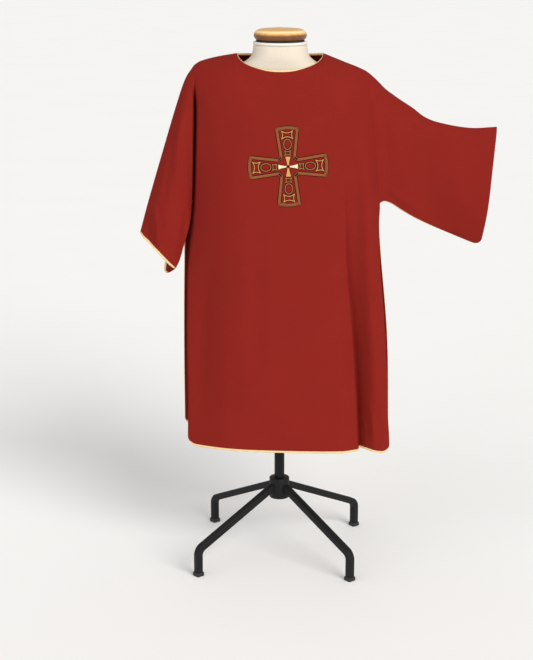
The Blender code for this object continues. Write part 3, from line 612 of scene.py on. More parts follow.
@dataclass(frozen=True)
class TurnedWood:
    """Honey wood turned on a lathe and varnished, with painted shade below a height and a painted
    highlight band round the rim.
    """

    name: str
    light_colour: Colour
    colour: Colour
    deep_colour: Colour
    # The painted shade: below these heights the colour goes dark, for the side that the light
    # doesn't reach.
    shaded_between: tuple[float, float] = (1.5565, 1.5640)
    # The painted highlight: a pale band round the rim, between these heights.
    rim_highlight_between: tuple[float, float] = (1.5600, 1.5710)
    rim_highlight_colour: Colour = (1.0, 0.74, 0.38)
    sway_scale: tuple[float, float, float] = (6.0, 1.2, 6.0)
    rings_across: float = 420.0
    rings_up: float = 60.0
    ring_sway: float = 14.0
    fibre_scale: tuple[float, float, float] = (1400.0, 45.0, 1400.0)
    pore_scale: tuple[float, float, float] = (2600.0, 120.0, 2600.0)
    cloud_scale: float = 22.0
    shade_sway: float = 0.004
    relief: float = 0.0002

    def material(self) -> bpy.types.Material:
        """Make the material.

        Returns:
            The finished material.
        """
        dye = DyePot(self.name)
        place = dye.object_place()
        _, y, z = dye.parts(place)
        sway = dye.noise(dye.stretched(place, self.sway_scale), 3.0, 2.0)
        growth = y * self.rings_across + z * self.rings_up + sway * self.ring_sway
        ring = (growth.sine() * 0.5 + 0.5).above(0.15, 0.95)
        fibre = dye.noise(dye.stretched(place, self.fibre_scale), 1.0, 3.0)
        pores = dye.noise(dye.stretched(place, self.pore_scale), 1.0, 1.0).above(0.62, 0.75)
        cloud = dye.noise(place, self.cloud_scale, 3.0)
        tone = ring * 0.25 + fibre * 0.4 + cloud * 0.4
        colour = dye.mixed(tone.above(0.25, 0.95), self.light_colour, self.colour)
        colour = dye.mixed(pores * 0.5 + cloud.above(0.6, 0.9) * 0.3, colour, self.deep_colour)
        # Painted shade: dark below a swaying height, for the shaded side of the turned piece.
        painted_shade = 1.0 - (z + sway * self.shade_sway).above(*self.shaded_between)
        colour = dye.mixed(painted_shade * 0.9, colour, self.deep_colour)
        # Painted highlight: a pale band round the rim.
        low, high = self.rim_highlight_between
        middle = (low + high) / 2.0
        rim = z.above(low, middle) * (1.0 - z.above(middle, high))
        colour = dye.mixed(rim * 0.8, colour, self.rim_highlight_colour)
        return dye.dress(
            {
                "Base Color": colour,
                "Roughness": 0.34 + fibre * 0.15 + pores * 0.1,
                "Coat Weight": 0.25,
                "Coat Roughness": 0.16,
                "Specular IOR Level": 0.2,
                "Normal": dye.bumped(fibre * 0.4 - pores * 0.7, self.relief, 0.5),
            }
        )


@dataclass(frozen=True)
class PaintedSteel:
    """Satin black paint on steel tube, a little dusty and rubbed lighter in places."""

    name: str
    colour: Colour
    rubbed_colour: Colour
    peel_scale: float = 420.0
    dust_scale: float = 9.0
    scuff_scale: tuple[float, float, float] = (120.0, 120.0, 30.0)
    relief: float = 0.00008

    def material(self) -> bpy.types.Material:
        """Make the material.

        Returns:
            The finished material.
        """
        dye = DyePot(self.name)
        place = dye.object_place()
        peel = dye.noise(place, self.peel_scale, 2.0)
        dust = dye.noise(place, self.dust_scale, 4.0)
        scuff = dye.noise(dye.stretched(place, self.scuff_scale), 1.0, 4.0).above(0.66, 0.8)
        rubbed = scuff * 0.4 + dust.above(0.5, 0.9) * 0.15
        colour = dye.mixed(rubbed, self.colour, self.rubbed_colour)
        return dye.dress(
            {
                "Base Color": colour,
                "Roughness": 0.42 + dust * 0.16 + scuff * 0.15,
                "Specular IOR Level": 0.22,
                "Normal": dye.bumped(peel, self.relief, 0.6),
            }
        )


@dataclass(frozen=True)
class MouldedPlastic:
    """Black moulded plastic with a fine grain."""

    name: str
    colour: Colour
    worn_colour: Colour
    grain_scale: float = 1500.0
    wear_scale: float = 60.0
    relief: float = 0.0001

    def material(self) -> bpy.types.Material:
        """Make the material.

        Returns:
            The finished material.
        """
        dye = DyePot(self.name)
        place = dye.object_place()
        grain = dye.noise(place, self.grain_scale, 2.0)
        wear = dye.noise(place, self.wear_scale, 4.0).above(0.55, 0.85)
        return dye.dress(
            {
                "Base Color": dye.mixed(wear * 0.4, self.colour, self.worn_colour),
                "Roughness": 0.55 + grain * 0.2,
                "Normal": dye.bumped(grain, self.relief, 0.6),
            }
        )


@dataclass(frozen=True)
class PaleFloor:
    """A plain pale floor, hardly mottled."""

    name: str
    colour: Colour
    deep_colour: Colour
    cloud_scale: float = 1.4

    def material(self) -> bpy.types.Material:
        """Make the material.

        Returns:
            The finished material.
        """
        dye = DyePot(self.name)
        cloud = dye.noise(dye.object_place(), self.cloud_scale, 3.0)
        colour = dye.mixed(cloud.above(0.3, 0.8) * 0.4, self.colour, self.deep_colour)
        return dye.dress(
            {
                "Base Color": colour,
                "Roughness": 0.8 + cloud * 0.1,
                "Specular IOR Level": 0.15,
            }
        )


class Slot(Enum):
    """The part's material slots, each with the finish that dresses it."""

    RED_CLOTH = WovenCloth("red_cloth", (0.250, 0.0180, 0.0125), (0.196, 0.0140, 0.0100))
    # Each thread's second colour is the painted highlight on its strands.
    GOLD_PIPING = SatinThread(
        "gold_piping", (0.92, 0.66, 0.30), (1.0, 0.93, 0.68), (0.56, 0.28, 0.07), 0.0032, 1.0
    )
    BRONZE_THREAD = SatinThread(
        "bronze_thread", (0.46, 0.18, 0.055), (0.68, 0.34, 0.12), (0.2, 0.066, 0.018), 0.0011, 0.0
    )
    GOLD_THREAD = SatinThread(
        "gold_thread", (0.92, 0.72, 0.36), (1.0, 0.95, 0.74), (0.62, 0.36, 0.10), 0.0010, 0.0
    )
    LINEN = StretchedLinen("linen", (0.83, 0.76, 0.66), (0.70, 0.59, 0.45))
    WHITE_TRIM = StretchedLinen("white_trim", (0.93, 0.91, 0.86), (0.74, 0.69, 0.60), 0.0009)
    # Its deep colour serves both for the wood's pores and for the painted shade on its lower side.
    CAP_WOOD = TurnedWood(
        "cap_wood", (0.78, 0.46, 0.15), (0.56, 0.26, 0.065), (0.13, 0.036, 0.011)
    )
    BLACK_METAL = PaintedSteel("black_metal", (0.006, 0.006, 0.0065), (0.030, 0.029, 0.028))
    BLACK_PLASTIC = MouldedPlastic("black_plastic", (0.012, 0.012, 0.013), (0.05, 0.05, 0.05))

    @cache
    def dressed(self) -> bpy.types.Material:
        """The slot's material, made the first time that it is asked for."""
        return self.value.material()


# Making pieces


def stood(name: str, data: bpy.types.ID) -> bpy.types.Object:
    """A new object in the scene that holds a mesh, a light or a camera."""
    made = bpy.data.objects.new(name, data)
    bpy.context.scene.collection.objects.link(made)
    return made


@dataclass(frozen=True)
class Workroom:
    """Makes the pieces, puts them where the form stands and ties them to the frame."""

    axis: Vector

    def piece(
        self,
        name: str,
        points: Array,
        faces: Sequence[Sequence[int]],
        slot: Slot,
        places: Optional[Mapping[str, Array]] = None,
        finish: Optional[bpy.types.Material] = None,
        sharp_angle: float = 50.0,
    ) -> bpy.types.Object:
        """Add one mesh piece.

        Args:
            name: Its name.
            points: Its points, round the form's axis.
            faces: Its faces, as indices of points.
            slot: The part's slot that it takes its finish from.
            places: Vectors that its material reads, one for each corner of each face.
            finish: The material that dresses it, where it isn't the slot's own.
            sharp_angle: The angle in degrees above which an edge looks sharp.

        Returns:
            The new object.
        """
        mesh = bpy.data.meshes.new(name)
        mesh.from_pydata((points + np.array(self.axis)).tolist(), [], faces)
        for key, values in (places or {}).items():
            held = mesh.attributes.new(key, "FLOAT_VECTOR", "CORNER")
            held.data.foreach_set("vector", np.asarray(values, np.float32).ravel())
        mesh.shade_smooth()
        mesh.set_sharp_from_angle(angle=math.radians(sharp_angle))
        mesh.materials.append(finish or slot.dressed())
        made = stood(name, mesh)
        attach(made, BODY)
        LOG.info("%s: %d faces", name, len(faces))
        return made


def grid_faces(rows: int, columns: int, closed: bool, turned_over: bool) -> Array:
    """The four-sided faces of a grid of points, counted row by row.

    Args:
        rows: The number of rows.
        columns: The number of columns.
        closed: Whether the last column joins the first.
        turned_over: Whether the faces look the other way.

    Returns:
        One row of four indices for each face.
    """
    last = columns if closed else columns - 1
    i, j = np.meshgrid(np.arange(rows - 1), np.arange(last), indexing="ij")
    after = (j + 1) % columns
    here, there = i * columns, (i + 1) * columns
    corners = (here + j, here + after, there + after, there + j)
    faces = np.stack([corner.ravel() for corner in corners], axis=1)
    return faces[:, ::-1] if turned_over else faces


def corner_values(faces: Array, values: Array) -> Array:
    """The value of each corner of each face, from one value for each point."""
    return values[faces.ravel()]


NEARLY_UPRIGHT = 0.2


@dataclass(frozen=True)
class Tube:
    """A round cord along a run of points, with rounded ends unless it is a ring."""

    path: Array
    radius: float
    closed: bool = False
    sides: int = 14
    end_rings: int = 3

    def frames(self) -> tuple[Array, Array]:
        """Two directions across the cord at each point, which turn as little as they can.

        Returns:
            The two directions, a row for each point.
        """
        if self.closed:
            runs = np.roll(self.path, -1, axis=0) - np.roll(self.path, 1, axis=0)
        else:
            runs = np.gradient(self.path, axis=0)
        runs = unit(runs)
        side = np.cross(runs[0], (0.0, 0.0, 1.0))
        if np.linalg.norm(side) < NEARLY_UPRIGHT:
            side = np.cross(runs[0], (0.0, 1.0, 0.0))
        sides = []
        for run in runs:
            side = side - run * side.dot(run)
            side = side / np.linalg.norm(side)
            sides.append(side)
        sides = np.array(sides)
        return sides, np.cross(runs, sides)

    def mesh(self) -> tuple[Array, list[list[int]], Array]:
        """Build the cord.

        Returns:
            Its points, its faces, and for each corner how far along the cord it is, its turn
            round the cord, and nothing.
        """
        first, second = self.frames()
        along = running_length(self.path, 0)
        centres, radii, ways = self.path, np.full(len(self.path), self.radius), along
        if not self.closed:
            centres, radii, ways, first, second = self.with_ends(first, second, along)
        turns = 2.0 * math.pi * np.arange(self.sides) / self.sides
        ring = np.cos(turns)[None, :, None] * first[:, None, :]
        ring = ring + np.sin(turns)[None, :, None] * second[:, None, :]
        points = centres[:, None, :] + ring * radii[:, None, None]
        rows = len(centres)
        faces, values = [], []
        last = rows if self.closed else rows - 1
        for i in range(last):
            after = (i + 1) % rows
            far = ways[after] if after else ways[-1] + np.linalg.norm(centres[0] - centres[-1])
            here, there = i * self.sides, after * self.sides
            for n in range(self.sides):
                m = (n + 1) % self.sides
                faces.append([here + n, here + m, there + m, there + n])
                low, high = turns[n], turns[n] + turns[1]
                for way, turn in ((ways[i], low), (ways[i], high), (far, high), (far, low)):
                    values.append((way, turn, 0.0))
        if not self.closed:
            faces.append(list(range(self.sides))[::-1])
            faces.append([(rows - 1) * self.sides + n for n in range(self.sides)])
            values += [(ways[0], 0.0, 0.0)] * self.sides + [(ways[-1], 0.0, 0.0)] * self.sides
        return points.reshape(-1, 3), faces, np.array(values)

    def with_ends(self, first: Array, second: Array, along: Array) -> tuple[Array, ...]:
        """Add rings that close the two ends in a dome.

        Args:
            first: The first direction across the cord at each point.
            second: The second.
            along: How far along the cord each point is.

        Returns:
            The middles, the radii, the lengths so far and both directions, with the ends added.
        """
        turns = (np.arange(self.end_rings) + 0.5) / self.end_rings * math.pi / 2.0
        small = self.radius * np.sin(turns)
        out = self.radius * np.cos(turns)
        start = unit(self.path[0] - self.path[1])
        end = unit(self.path[-1] - self.path[-2])
        centres = np.concatenate(
            [self.path[0] + out[:, None] * start, self.path, self.path[-1] + out[::-1, None] * end]
        )
        radii = np.concatenate([small, np.full(len(self.path), self.radius), small[::-1]])
        ways = np.concatenate([along[0] - out, along, along[-1] + out[::-1]])
        spread = [0] * self.end_rings + list(range(len(self.path))) + [-1] * self.end_rings
        return centres, radii, ways, first[spread], second[spread]


@dataclass(frozen=True)
class Turning:
    """A round piece from its profile, which starts and ends on the axis."""

    profile: Sequence[tuple[float, float]]
    sides: int = 96
    fine_step: float = 0.0

    def mesh(self) -> tuple[Array, list[list[int]]]:
        """Build the piece.

        Returns:
            Its points and its faces.
        """
        profile = np.array(self.profile, float)
        if self.fine_step:
            path = SmoothPath(profile)
            steps = math.ceil(path.length / self.fine_step)
            profile = path.at(np.linspace(0.0, 1.0, steps + 1))
        rings = profile[1:-1]
        points = [
            np.column_stack([circle(self.sides) * radius, np.full(self.sides, height)])
            for radius, height in rings
        ]
        ends = np.array([(0.0, 0.0, profile[0][1]), (0.0, 0.0, profile[-1][1])])
        below = len(rings) * self.sides
        top = below - self.sides
        faces = grid_faces(len(rings), self.sides, True, False).tolist()
        for n in range(self.sides):
            after = (n + 1) % self.sides
            faces.append([below, after, n])
            faces.append([below + 1, top + n, top + after])
        return np.concatenate([*points, ends]), faces


# The garment


FOLD_SOFT_SHARE = 0.3
FOLD_RISE_POWER = 1.7
FOLD_GROWTH_POWER = 0.75
CREASE_SHARPNESS = 1.4
SLEEVE_SWELL_POWER = 0.8
SLEEVE_TURN_SHARE = 0.08
ON_NECKLINE = 1e-6


class ShoulderPoint(NamedTuple):
    """A place on a shoulder line."""

    x: float
    height: float


class Section(NamedTuple):
    """Where a panel's edges and middle are at a height."""

    height: float
    left_x: float
    left_y: float
    middle_y: float
    right_x: float
    right_y: float


class Fold(NamedTuple):
    """A fold that runs down to the hem, deepest there.

    top and bottom are fractions of the panel's width; start is the height where it begins.
    A fold with a lip has one steep side, as wide as the lip, and one that rises slowly.
    """

    top: float
    bottom: float
    start: float
    depth: float
    left_width: float
    right_width: float
    lip: float = 0.0

    def grown(self, height: Array, hem_height: float) -> Array:
        """How much of its depth it has at heights."""
        return np.clip((self.start - height) / (self.start - hem_height), 0.0, 1.0)

    def shape(self, away: Array) -> Array:
        """How deep it is at distances to the right of its deepest line, as a fraction.

        Args:
            away: The distances, less than nothing to the left.

        Returns:
            From 0, level, to 1, the deepest.
        """
        half = np.where(away < 0, self.left_width, self.right_width)
        soft = bell(away / half)
        if not self.lip:
            return soft
        steep = between(bell(away / self.lip), soft, FOLD_SOFT_SHARE)
        slow = (1.0 - np.clip(away / half, 0.0, 1.0)) ** FOLD_RISE_POWER
        return np.where(away < 0, steep, slow)


class SleevePoint(NamedTuple):
    """A place on a sleeve."""

    x: float
    y: float
    height: float


@dataclass(frozen=True)
class Crease:
    """A soft ridge or trough along a run of places, each an x and a height."""

    places: tuple[tuple[float, float], ...]
    rise: float
    half_width: float
    skew: float = 0.0
    fade: float = 0.3
    steps: int = 24

    def push(self, x: Array, height: Array) -> Array:
        """How far out it takes the cloth at places.

        Args:
            x: Their x.
            height: Their heights.

        Returns:
            Metres out, and less than nothing in a trough.
        """
        run = SmoothPath(self.places).at(np.linspace(0.0, 1.0, self.steps + 1))
        best = np.full(x.shape, np.inf)
        signed = np.zeros(x.shape)
        done = np.zeros(x.shape)
        for n in range(self.steps):
            start, step = run[n], run[n + 1] - run[n]
            t = ((x - start[0]) * step[0] + (height - start[1]) * step[1]) / (step @ step)
            t = np.clip(t, 0.0, 1.0)
            off_x = x - start[0] - t * step[0]
            off_z = height - start[1] - t * step[1]
            away = np.hypot(off_x, off_z)
            nearer = away < best
            best = np.where(nearer, away, best)
            signed = np.where(nearer, np.sign(step[0] * off_z - step[1] * off_x), signed)
            done = np.where(nearer, (n + t) / self.steps, done)
        width = self.half_width * (1.0 + self.skew * signed)
        ends = eased(done / self.fade) * eased((1.0 - done) / self.fade)
        return self.rise * ends * bell(best / width) ** CREASE_SHARPNESS


@dataclass(frozen=True)
class Cut:
    """Sizes that all the garment's pieces share."""

    neck_half_width: float = 0.1215
    neck_corner_height: float = 1.504
    shoulder_roundness: float = 0.090
    left_shoulder: tuple[ShoulderPoint, ...] = (
        ShoulderPoint(-0.2450, 1.470),
        ShoulderPoint(-0.2280, 1.481),
        ShoulderPoint(-0.1850, 1.493),
        ShoulderPoint(-0.1215, 1.504),
    )
    right_shoulder: tuple[ShoulderPoint, ...] = (
        ShoulderPoint(0.1215, 1.504),
        ShoulderPoint(0.1840, 1.479),
        ShoulderPoint(0.2150, 1.467),
        ShoulderPoint(0.2400, 1.455),
    )
    hem_height: float = 0.372
    right_hem_dip: float = 0.010
    hem_dip_start: float = 0.8
    armpit_height: float = 1.088
    corner_radius: float = 0.022
    thickness: float = 0.0018
    rows_to_armpit: int = 63
    rows_to_hem: int = 118
    row_crowding: float = 1.7
    crease_depth: float = 0.036
    crease_width: float = 0.009
    crease_top: float = 1.440
    crease_fade: float = 0.110
    neck_calm_reach: float = 1.5
    neck_calm_fall: float = 0.060

    def rises(self) -> Array:
        """How far down from the shoulder to the armpit each row is, as fractions."""
        return (np.arange(self.rows_to_armpit + 1) / self.rows_to_armpit) ** self.row_crowding

    def sleeve_crease(self, distance: Array, height: Array) -> Array:
        """How far in the cloth goes at a distance from the hanging sleeve's seam."""
        gate = eased((self.crease_top - height) / self.crease_fade)
        below = 1.0 - eased((self.armpit_height - height) / (2.0 * self.crease_fade))
        return self.crease_depth * gate * below * bell(distance / self.crease_width)


@dataclass(frozen=True)
class Drape:
    """The soft creases of one side of the garment, and where its upper outline runs."""

    side: int
    creases: tuple[Crease, ...]
    outline: tuple[tuple[float, float], ...]
    fade: float

    def hang(self, points: Array) -> Array:
        """The points with the creases pushed out of them or into them.

        Args:
            points: Points of the smooth cloth.

        Returns:
            The same points, moved forwards or back.
        """
        x, height = points[..., 0], points[..., 2]
        run = np.array(self.outline)
        top = np.interp(x, run[:, 0], run[:, 1])
        amount = sum(crease.push(x, height) for crease in self.creases)
        moved = points.copy()
        moved[..., 1] += self.side * amount * eased((top - height) / self.fade)
        return moved


LEAST_TURN = 0.001


@dataclass
class ClothPiece:
    """A cut piece of cloth: a grid of points on its outer face and the normals there."""

    name: str
    grid: Array
    normals: Array
    turned_over: bool

    @classmethod
    def cut(cls, name: str, grid: Array, facing: int) -> "ClothPiece":
        """Make a piece from its outer points.

        Args:
            name: Its name.
            grid: Its points, row by row.
            facing: 1 or -1, the way that its outer face looks.

        Returns:
            The piece.
        """
        down = np.gradient(grid, axis=0)
        across = np.gradient(grid, axis=1)
        return cls(name, grid, unit(np.cross(down, across) * facing), facing > 0)

    def turn_in(self, column: int, width: float, angles: Array) -> None:
        """Roll the cloth inward along its first or last column.

        Args:
            column: 0 for the first column and -1 for the last.
            width: How much of the cloth is rolled.
            angles: How far it is rolled at each row, in radians.
        """
        ways = running_length(self.grid, 1)
        away = ways if column == 0 else ways[:, -1:] - ways
        part = np.clip(1.0 - away / width, 0.0, 1.0)
        turn = np.maximum(angles, LEAST_TURN)[:, None]
        outward = unit(np.gradient(self.grid, axis=1)) * (-1.0 if column == 0 else 1.0)
        along = width / turn * np.sin(turn * part) - width * part
        inward = width / turn * (1.0 - np.cos(turn * part))
        moved = self.grid + outward * along[..., None] - self.normals * inward[..., None]
        again = ClothPiece.cut(self.name, moved, 1 if self.turned_over else -1)
        self.grid, self.normals = again.grid, again.normals

    def edge_distances(self) -> Array:
        """How far each point is from the piece's nearest edge."""
        rows = running_length(self.grid, 0)
        columns = running_length(self.grid, 1)
        return np.minimum.reduce([rows, rows[-1:] - rows, columns, columns[:, -1:] - columns])

    def wall(self, thickness: float) -> tuple[Array, Array, Array]:
        """Build the cloth with its thickness.

        Args:
            thickness: The cloth's thickness.

        Returns:
            The points, the faces and the cloth place of each corner.
        """
        rows, columns = self.grid.shape[:2]
        inner = self.grid - self.normals * thickness
        points = np.concatenate([self.grid.reshape(-1, 3), inner.reshape(-1, 3)])
        outer_faces = grid_faces(rows, columns, False, self.turned_over)
        inner_faces = outer_faces[:, ::-1] + rows * columns
        index = np.arange(rows * columns).reshape(rows, columns)
        ring = np.concatenate([index[0, :-1], index[:-1, -1], index[-1, :0:-1], index[:0:-1, 0]])
        after = np.roll(ring, -1)
        strip = np.stack([after, ring, ring + rows * columns, after + rows * columns], axis=1)
        if self.turned_over:
            strip = strip[:, ::-1]
        faces = np.concatenate([outer_faces, inner_faces, strip])
        middle = columns // 2
        u = running_length(self.grid, 1)
        u = u - u[:, middle : middle + 1]
        v = np.broadcast_to(running_length(self.grid, 0)[:, middle : middle + 1], u.shape)
        place = np.stack([u, v, self.edge_distances()], axis=-1).reshape(-1, 3)
        return points, faces, corner_values(faces, np.concatenate([place, place]))


def share_normals(*places: tuple[Array, Any]) -> None:
    """Give the points that meet along a seam one normal.

    Args:
        places: Arrays of normals, each with the index of its points.
    """
    shared = unit(sum(normals[index] for normals, index in places))
    for normals, index in places:
        normals[index] = shared


@dataclass
class Panel:
    """The front or the back of the garment, from its shoulders to its hem."""

    name: str
    side: int
    cut: Cut
    sections: tuple[Section, ...]
    folds: tuple[Fold, ...]
    arch: float
    neck_reach: float
    neck_drop: float
    neck_columns: int
    left_columns: tuple[float, ...] = (0.0, 0.003, 0.006, 0.009, 0.013, 0.020, 0.030, 0.085, 0.165)
    right_columns: tuple[float, ...] = (
        0.7850, 0.8017, 0.8068, 0.8102, 0.8127, 0.8149, 0.8169, 0.8186, 0.8203, 0.8220,
        0.8245, 0.8279, 0.8321, 0.8389, 0.8473, 0.8600, 0.8750, 0.9050, 0.9350, 0.9620,
        0.9820, 0.9870, 0.9910, 0.9940, 0.9970, 1.0000,
    )
    column_step: float = 0.0085
    slide_reach: float = 0.13

    def columns(self) -> Array:
        """Fractions across the panel, with the neckline's own spaced by equal turns."""
        left, right = self.cut.left_shoulder[0].x, self.cut.right_shoulder[-1].x
        turns = math.pi * np.arange(self.neck_columns + 1) / self.neck_columns
        neck = (-self.cut.neck_half_width * np.cos(turns) - left) / (right - left)
        low = refined([*self.left_columns, neck[0]], self.column_step)
        high = refined([neck[-1], *self.right_columns], self.column_step)
        return np.concatenate([low[:-1], neck, high[1:]])

    def rows(self) -> Array:
        """How far down each row is: 0 at the top, 1 at the armpit, 2 at the hem."""
        to_hem = 1.0 + np.arange(1, self.cut.rows_to_hem + 1) / self.cut.rows_to_hem
        return np.concatenate([self.cut.rises(), to_hem])

    def top_edge(self, across: Array) -> Array:
        """The points of the top edge: shoulder, neckline and shoulder.

        Args:
            across: Fractions across the panel.

        Returns:
            The points.
        """
        cut = self.cut
        x = between(cut.left_shoulder[0].x, cut.right_shoulder[-1].x, across)
        left, right = (
            SmoothCurve([point.x for point in line], [[point.height] for point in line]).at(x)
            for line in (cut.left_shoulder, cut.right_shoulder)
        )
        inside = np.abs(x) < cut.neck_half_width - ON_NECKLINE
        turn = np.sqrt(np.clip(1.0 - (x / cut.neck_half_width) ** 2, 0.0, 1.0))
        shoulder = np.where(x < 0, left[:, 0], right[:, 0])
        y = np.where(inside, self.side * self.neck_reach * turn, 0.0)
        z = np.where(inside, cut.neck_corner_height - self.neck_drop * turn, shoulder)
        return np.stack([x, y, z], axis=-1)

    def calm_top(self, across: Array) -> tuple[Array, Array]:
        """The y and the height that the top edge has for the cloth well below it.

        The neckline's corners don't print through into the cloth.

        Args:
            across: Fractions across the panel.

        Returns:
            The y and the height at each.
        """
        cut = self.cut
        top = self.top_edge(across)
        x = top[:, 0]
        inside = np.abs(x) < cut.neck_half_width
        turn = bell(x / (cut.neck_calm_reach * cut.neck_half_width))
        height = np.where(inside, cut.neck_corner_height, top[:, 2]) - self.neck_drop * turn
        return self.side * self.neck_reach * turn, height

    def fold_depth(self, across: Array, width: Array, height: Array) -> Array:
        """How far the folds take the cloth in.

        Args:
            across: Fractions across the panel.
            width: How wide the panel is at each place.
            height: The heights.

        Returns:
            Metres in.
        """
        depth = np.zeros(across.shape)
        for fold in self.folds:
            grown = fold.grown(height, self.cut.hem_height)
            away = (across - between(fold.top, fold.bottom, grown)) * width
            depth += fold.depth * grown**FOLD_GROWTH_POWER * fold.shape(away)
        return depth

    def along_folds(self, across: Array, height: Array) -> Array:
        """Fractions across the panel, moved so that a steep fold keeps to one column.

        Args:
            across: Fractions across the panel.
            height: The heights.

        Returns:
            The moved fractions.
        """
        moved = across
        for fold in self.folds:
            if fold.lip:
                slide = (fold.bottom - fold.top) * fold.grown(height, self.cut.hem_height)
                moved = moved + slide * bell((across - fold.top) / self.slide_reach)
        return moved

    def grid(self) -> Array:
        """The panel's outer points, row by row from its top edge."""
        cut = self.cut
        columns = self.columns()
        across, down = np.meshgrid(columns, self.rows())
        top = self.top_edge(columns)[None]
        fall = cut.armpit_height - cut.hem_height
        hem_width = self.sections[0].right_x - self.sections[0].left_x
        edge = np.minimum(across, 1.0 - across) * hem_width
        edge, to_hem = rounded(edge, (2.0 - down) * fall, cut.corner_radius)
        low = down > 1.0
        across = np.where(low & (across < 0.5), edge / hem_width, across)
        across = np.where(low & (across > 0.5), 1.0 - edge / hem_width, across)
        down = np.where(low, 2.0 - to_hem / fall, down)
        dip = eased((across - cut.hem_dip_start) / (1.0 - cut.hem_dip_start))
        hem = cut.hem_height - cut.right_hem_dip * dip
        upper = between(top[..., 2], cut.armpit_height, down)
        height = np.where(low, between(cut.armpit_height, hem, down - 1.0), upper)
        across = self.along_folds(across, height)
        keys = [section.height for section in self.sections]
        row = SmoothCurve(keys, [section[1:] for section in self.sections]).at(height)
        left_x, left_y, middle_y, right_x, right_y = (row[..., n] for n in range(5))
        width = right_x - left_x
        sides = between(left_y, right_y, across)
        bulge = middle_y - (left_y + right_y) / 2.0
        hang = sides + bulge * (1.0 - np.abs(2.0 * across - 1.0) ** self.arch)
        calm_y, calm_height = self.calm_top(columns)
        drop = top[..., 2] - height
        calm = eased(drop / cut.neck_calm_fall)
        drop = between(drop, calm_height - height, calm)
        over = 1.0 - np.clip(drop / cut.shoulder_roundness, 0.0, 1.0)
        y = between(between(top[..., 1], calm_y, calm), hang, np.sqrt(1.0 - over * over))
        y = y - self.side * self.fold_depth(across, width, height)
        y = y - self.side * cut.sleeve_crease(across * width, height)
        return np.stack([between(left_x, right_x, across), y, height], axis=-1)


@dataclass
class Sleeve:
    """A sleeve as two patches, front and back, joined along its top fold and open beneath."""

    name: str
    cut: Cut
    top: tuple[SleevePoint, ...]
    stations: tuple[float, ...]
    station_step: float

    def cuff(self, low: Array, side: int) -> Array:
        """Points of the cuff, from the top fold at 0 to the lower edge at 1."""
        raise NotImplementedError

    def lower_edge(self, out: Array, side: int, start: Array) -> Array:
        """Points of the lower edge, from the armpit at 0 to the cuff at 1."""
        raise NotImplementedError

    def corner(self, side: int) -> float:
        """The radius of the cuff's corner."""
        return self.cut.corner_radius

    def without_crease(self, seam: Array, side: int) -> Array:
        """The seam as it would run if nothing were pressed in beside it."""
        return seam

    def add_crease(self, grid: Array) -> Array:
        """The points with what is pressed in beside the seam."""
        return grid

    def half(self, seam: Array, start: Array, side: int) -> Array:
        """One patch between the seam, the cuff, the top fold and the lower edge.

        Args:
            seam: The armhole seam's points, from the shoulder down.
            start: Where the top fold leaves the shoulder.
            side: -1 for the front and 1 for the back.

        Returns:
            The points, station by station from the seam, each from the top fold down.
        """
        rises = self.cut.rises()
        seam = np.concatenate([start[None], seam[1:]])
        armpit = seam[-1]
        zero, one = np.zeros(1), np.ones(1)
        cuff_top, cuff_end = self.cuff(zero, side)[0], self.cuff(one, side)[0]
        length = np.linalg.norm(cuff_end - armpit)
        height = np.linalg.norm(cuff_end - cuff_top)
        stations = refined(self.stations, self.station_step)
        low, out = np.meshgrid(rises, stations)
        to_cuff, to_edge = rounded(
            (1.0 - out) * length, (1.0 - low) * height, self.corner(side)
        )
        out = 1.0 - to_cuff / length
        low = 1.0 - to_edge / height
        at_seam = np.stack([np.interp(low, rises, seam[:, n]) for n in range(3)], axis=-1)
        top = SmoothPath([tuple(start), *self.top[1:]]).at(out)
        p, q = out[..., None], low[..., None]
        points = at_seam * (1 - p) + self.cuff(low, side) * p
        points += top * (1 - q) + self.lower_edge(out, side, armpit) * q
        points -= start * (1 - p) * (1 - q) + armpit * (1 - p) * q
        points -= cuff_top * p * (1 - q) + cuff_end * p * q
        return points

    def grid(self, front_seam: Array, back_seam: Array) -> Array:
        """The sleeve's outer points.

        Args:
            front_seam: The front panel's armhole points, from the shoulder down.
            back_seam: The back panel's.

        Returns:
            The points, station by station, each from the front edge over the top to the back.
        """
        seams = {-1: self.without_crease(front_seam, -1), 1: self.without_crease(back_seam, 1)}
        start = (seams[-1][0] + seams[1][0]) / 2.0
        front = self.half(seams[-1], start, -1)
        back = self.half(seams[1], start, 1)
        return self.add_crease(np.concatenate([front[:, ::-1], back[:, 1:]], axis=1))


def swelled(rise: Array) -> Array:
    """How far a sleeve's layer swells from its top fold at 0 to its edge at 1, as a fraction."""
    return np.clip(np.sin(math.pi * rise), 0.0, 1.0) ** SLEEVE_SWELL_POWER


def flattened(rise: Array, depth: float, edge_depth: float) -> Array:
    """How deep a flattened sleeve's layer is, from its top fold at 0 to its edge at 1."""
    turn = np.sqrt(1.0 - (1.0 - np.clip(rise / SLEEVE_TURN_SHARE, 0.0, 1.0)) ** 2)
    return edge_depth * turn + (depth - edge_depth) * swelled(rise)


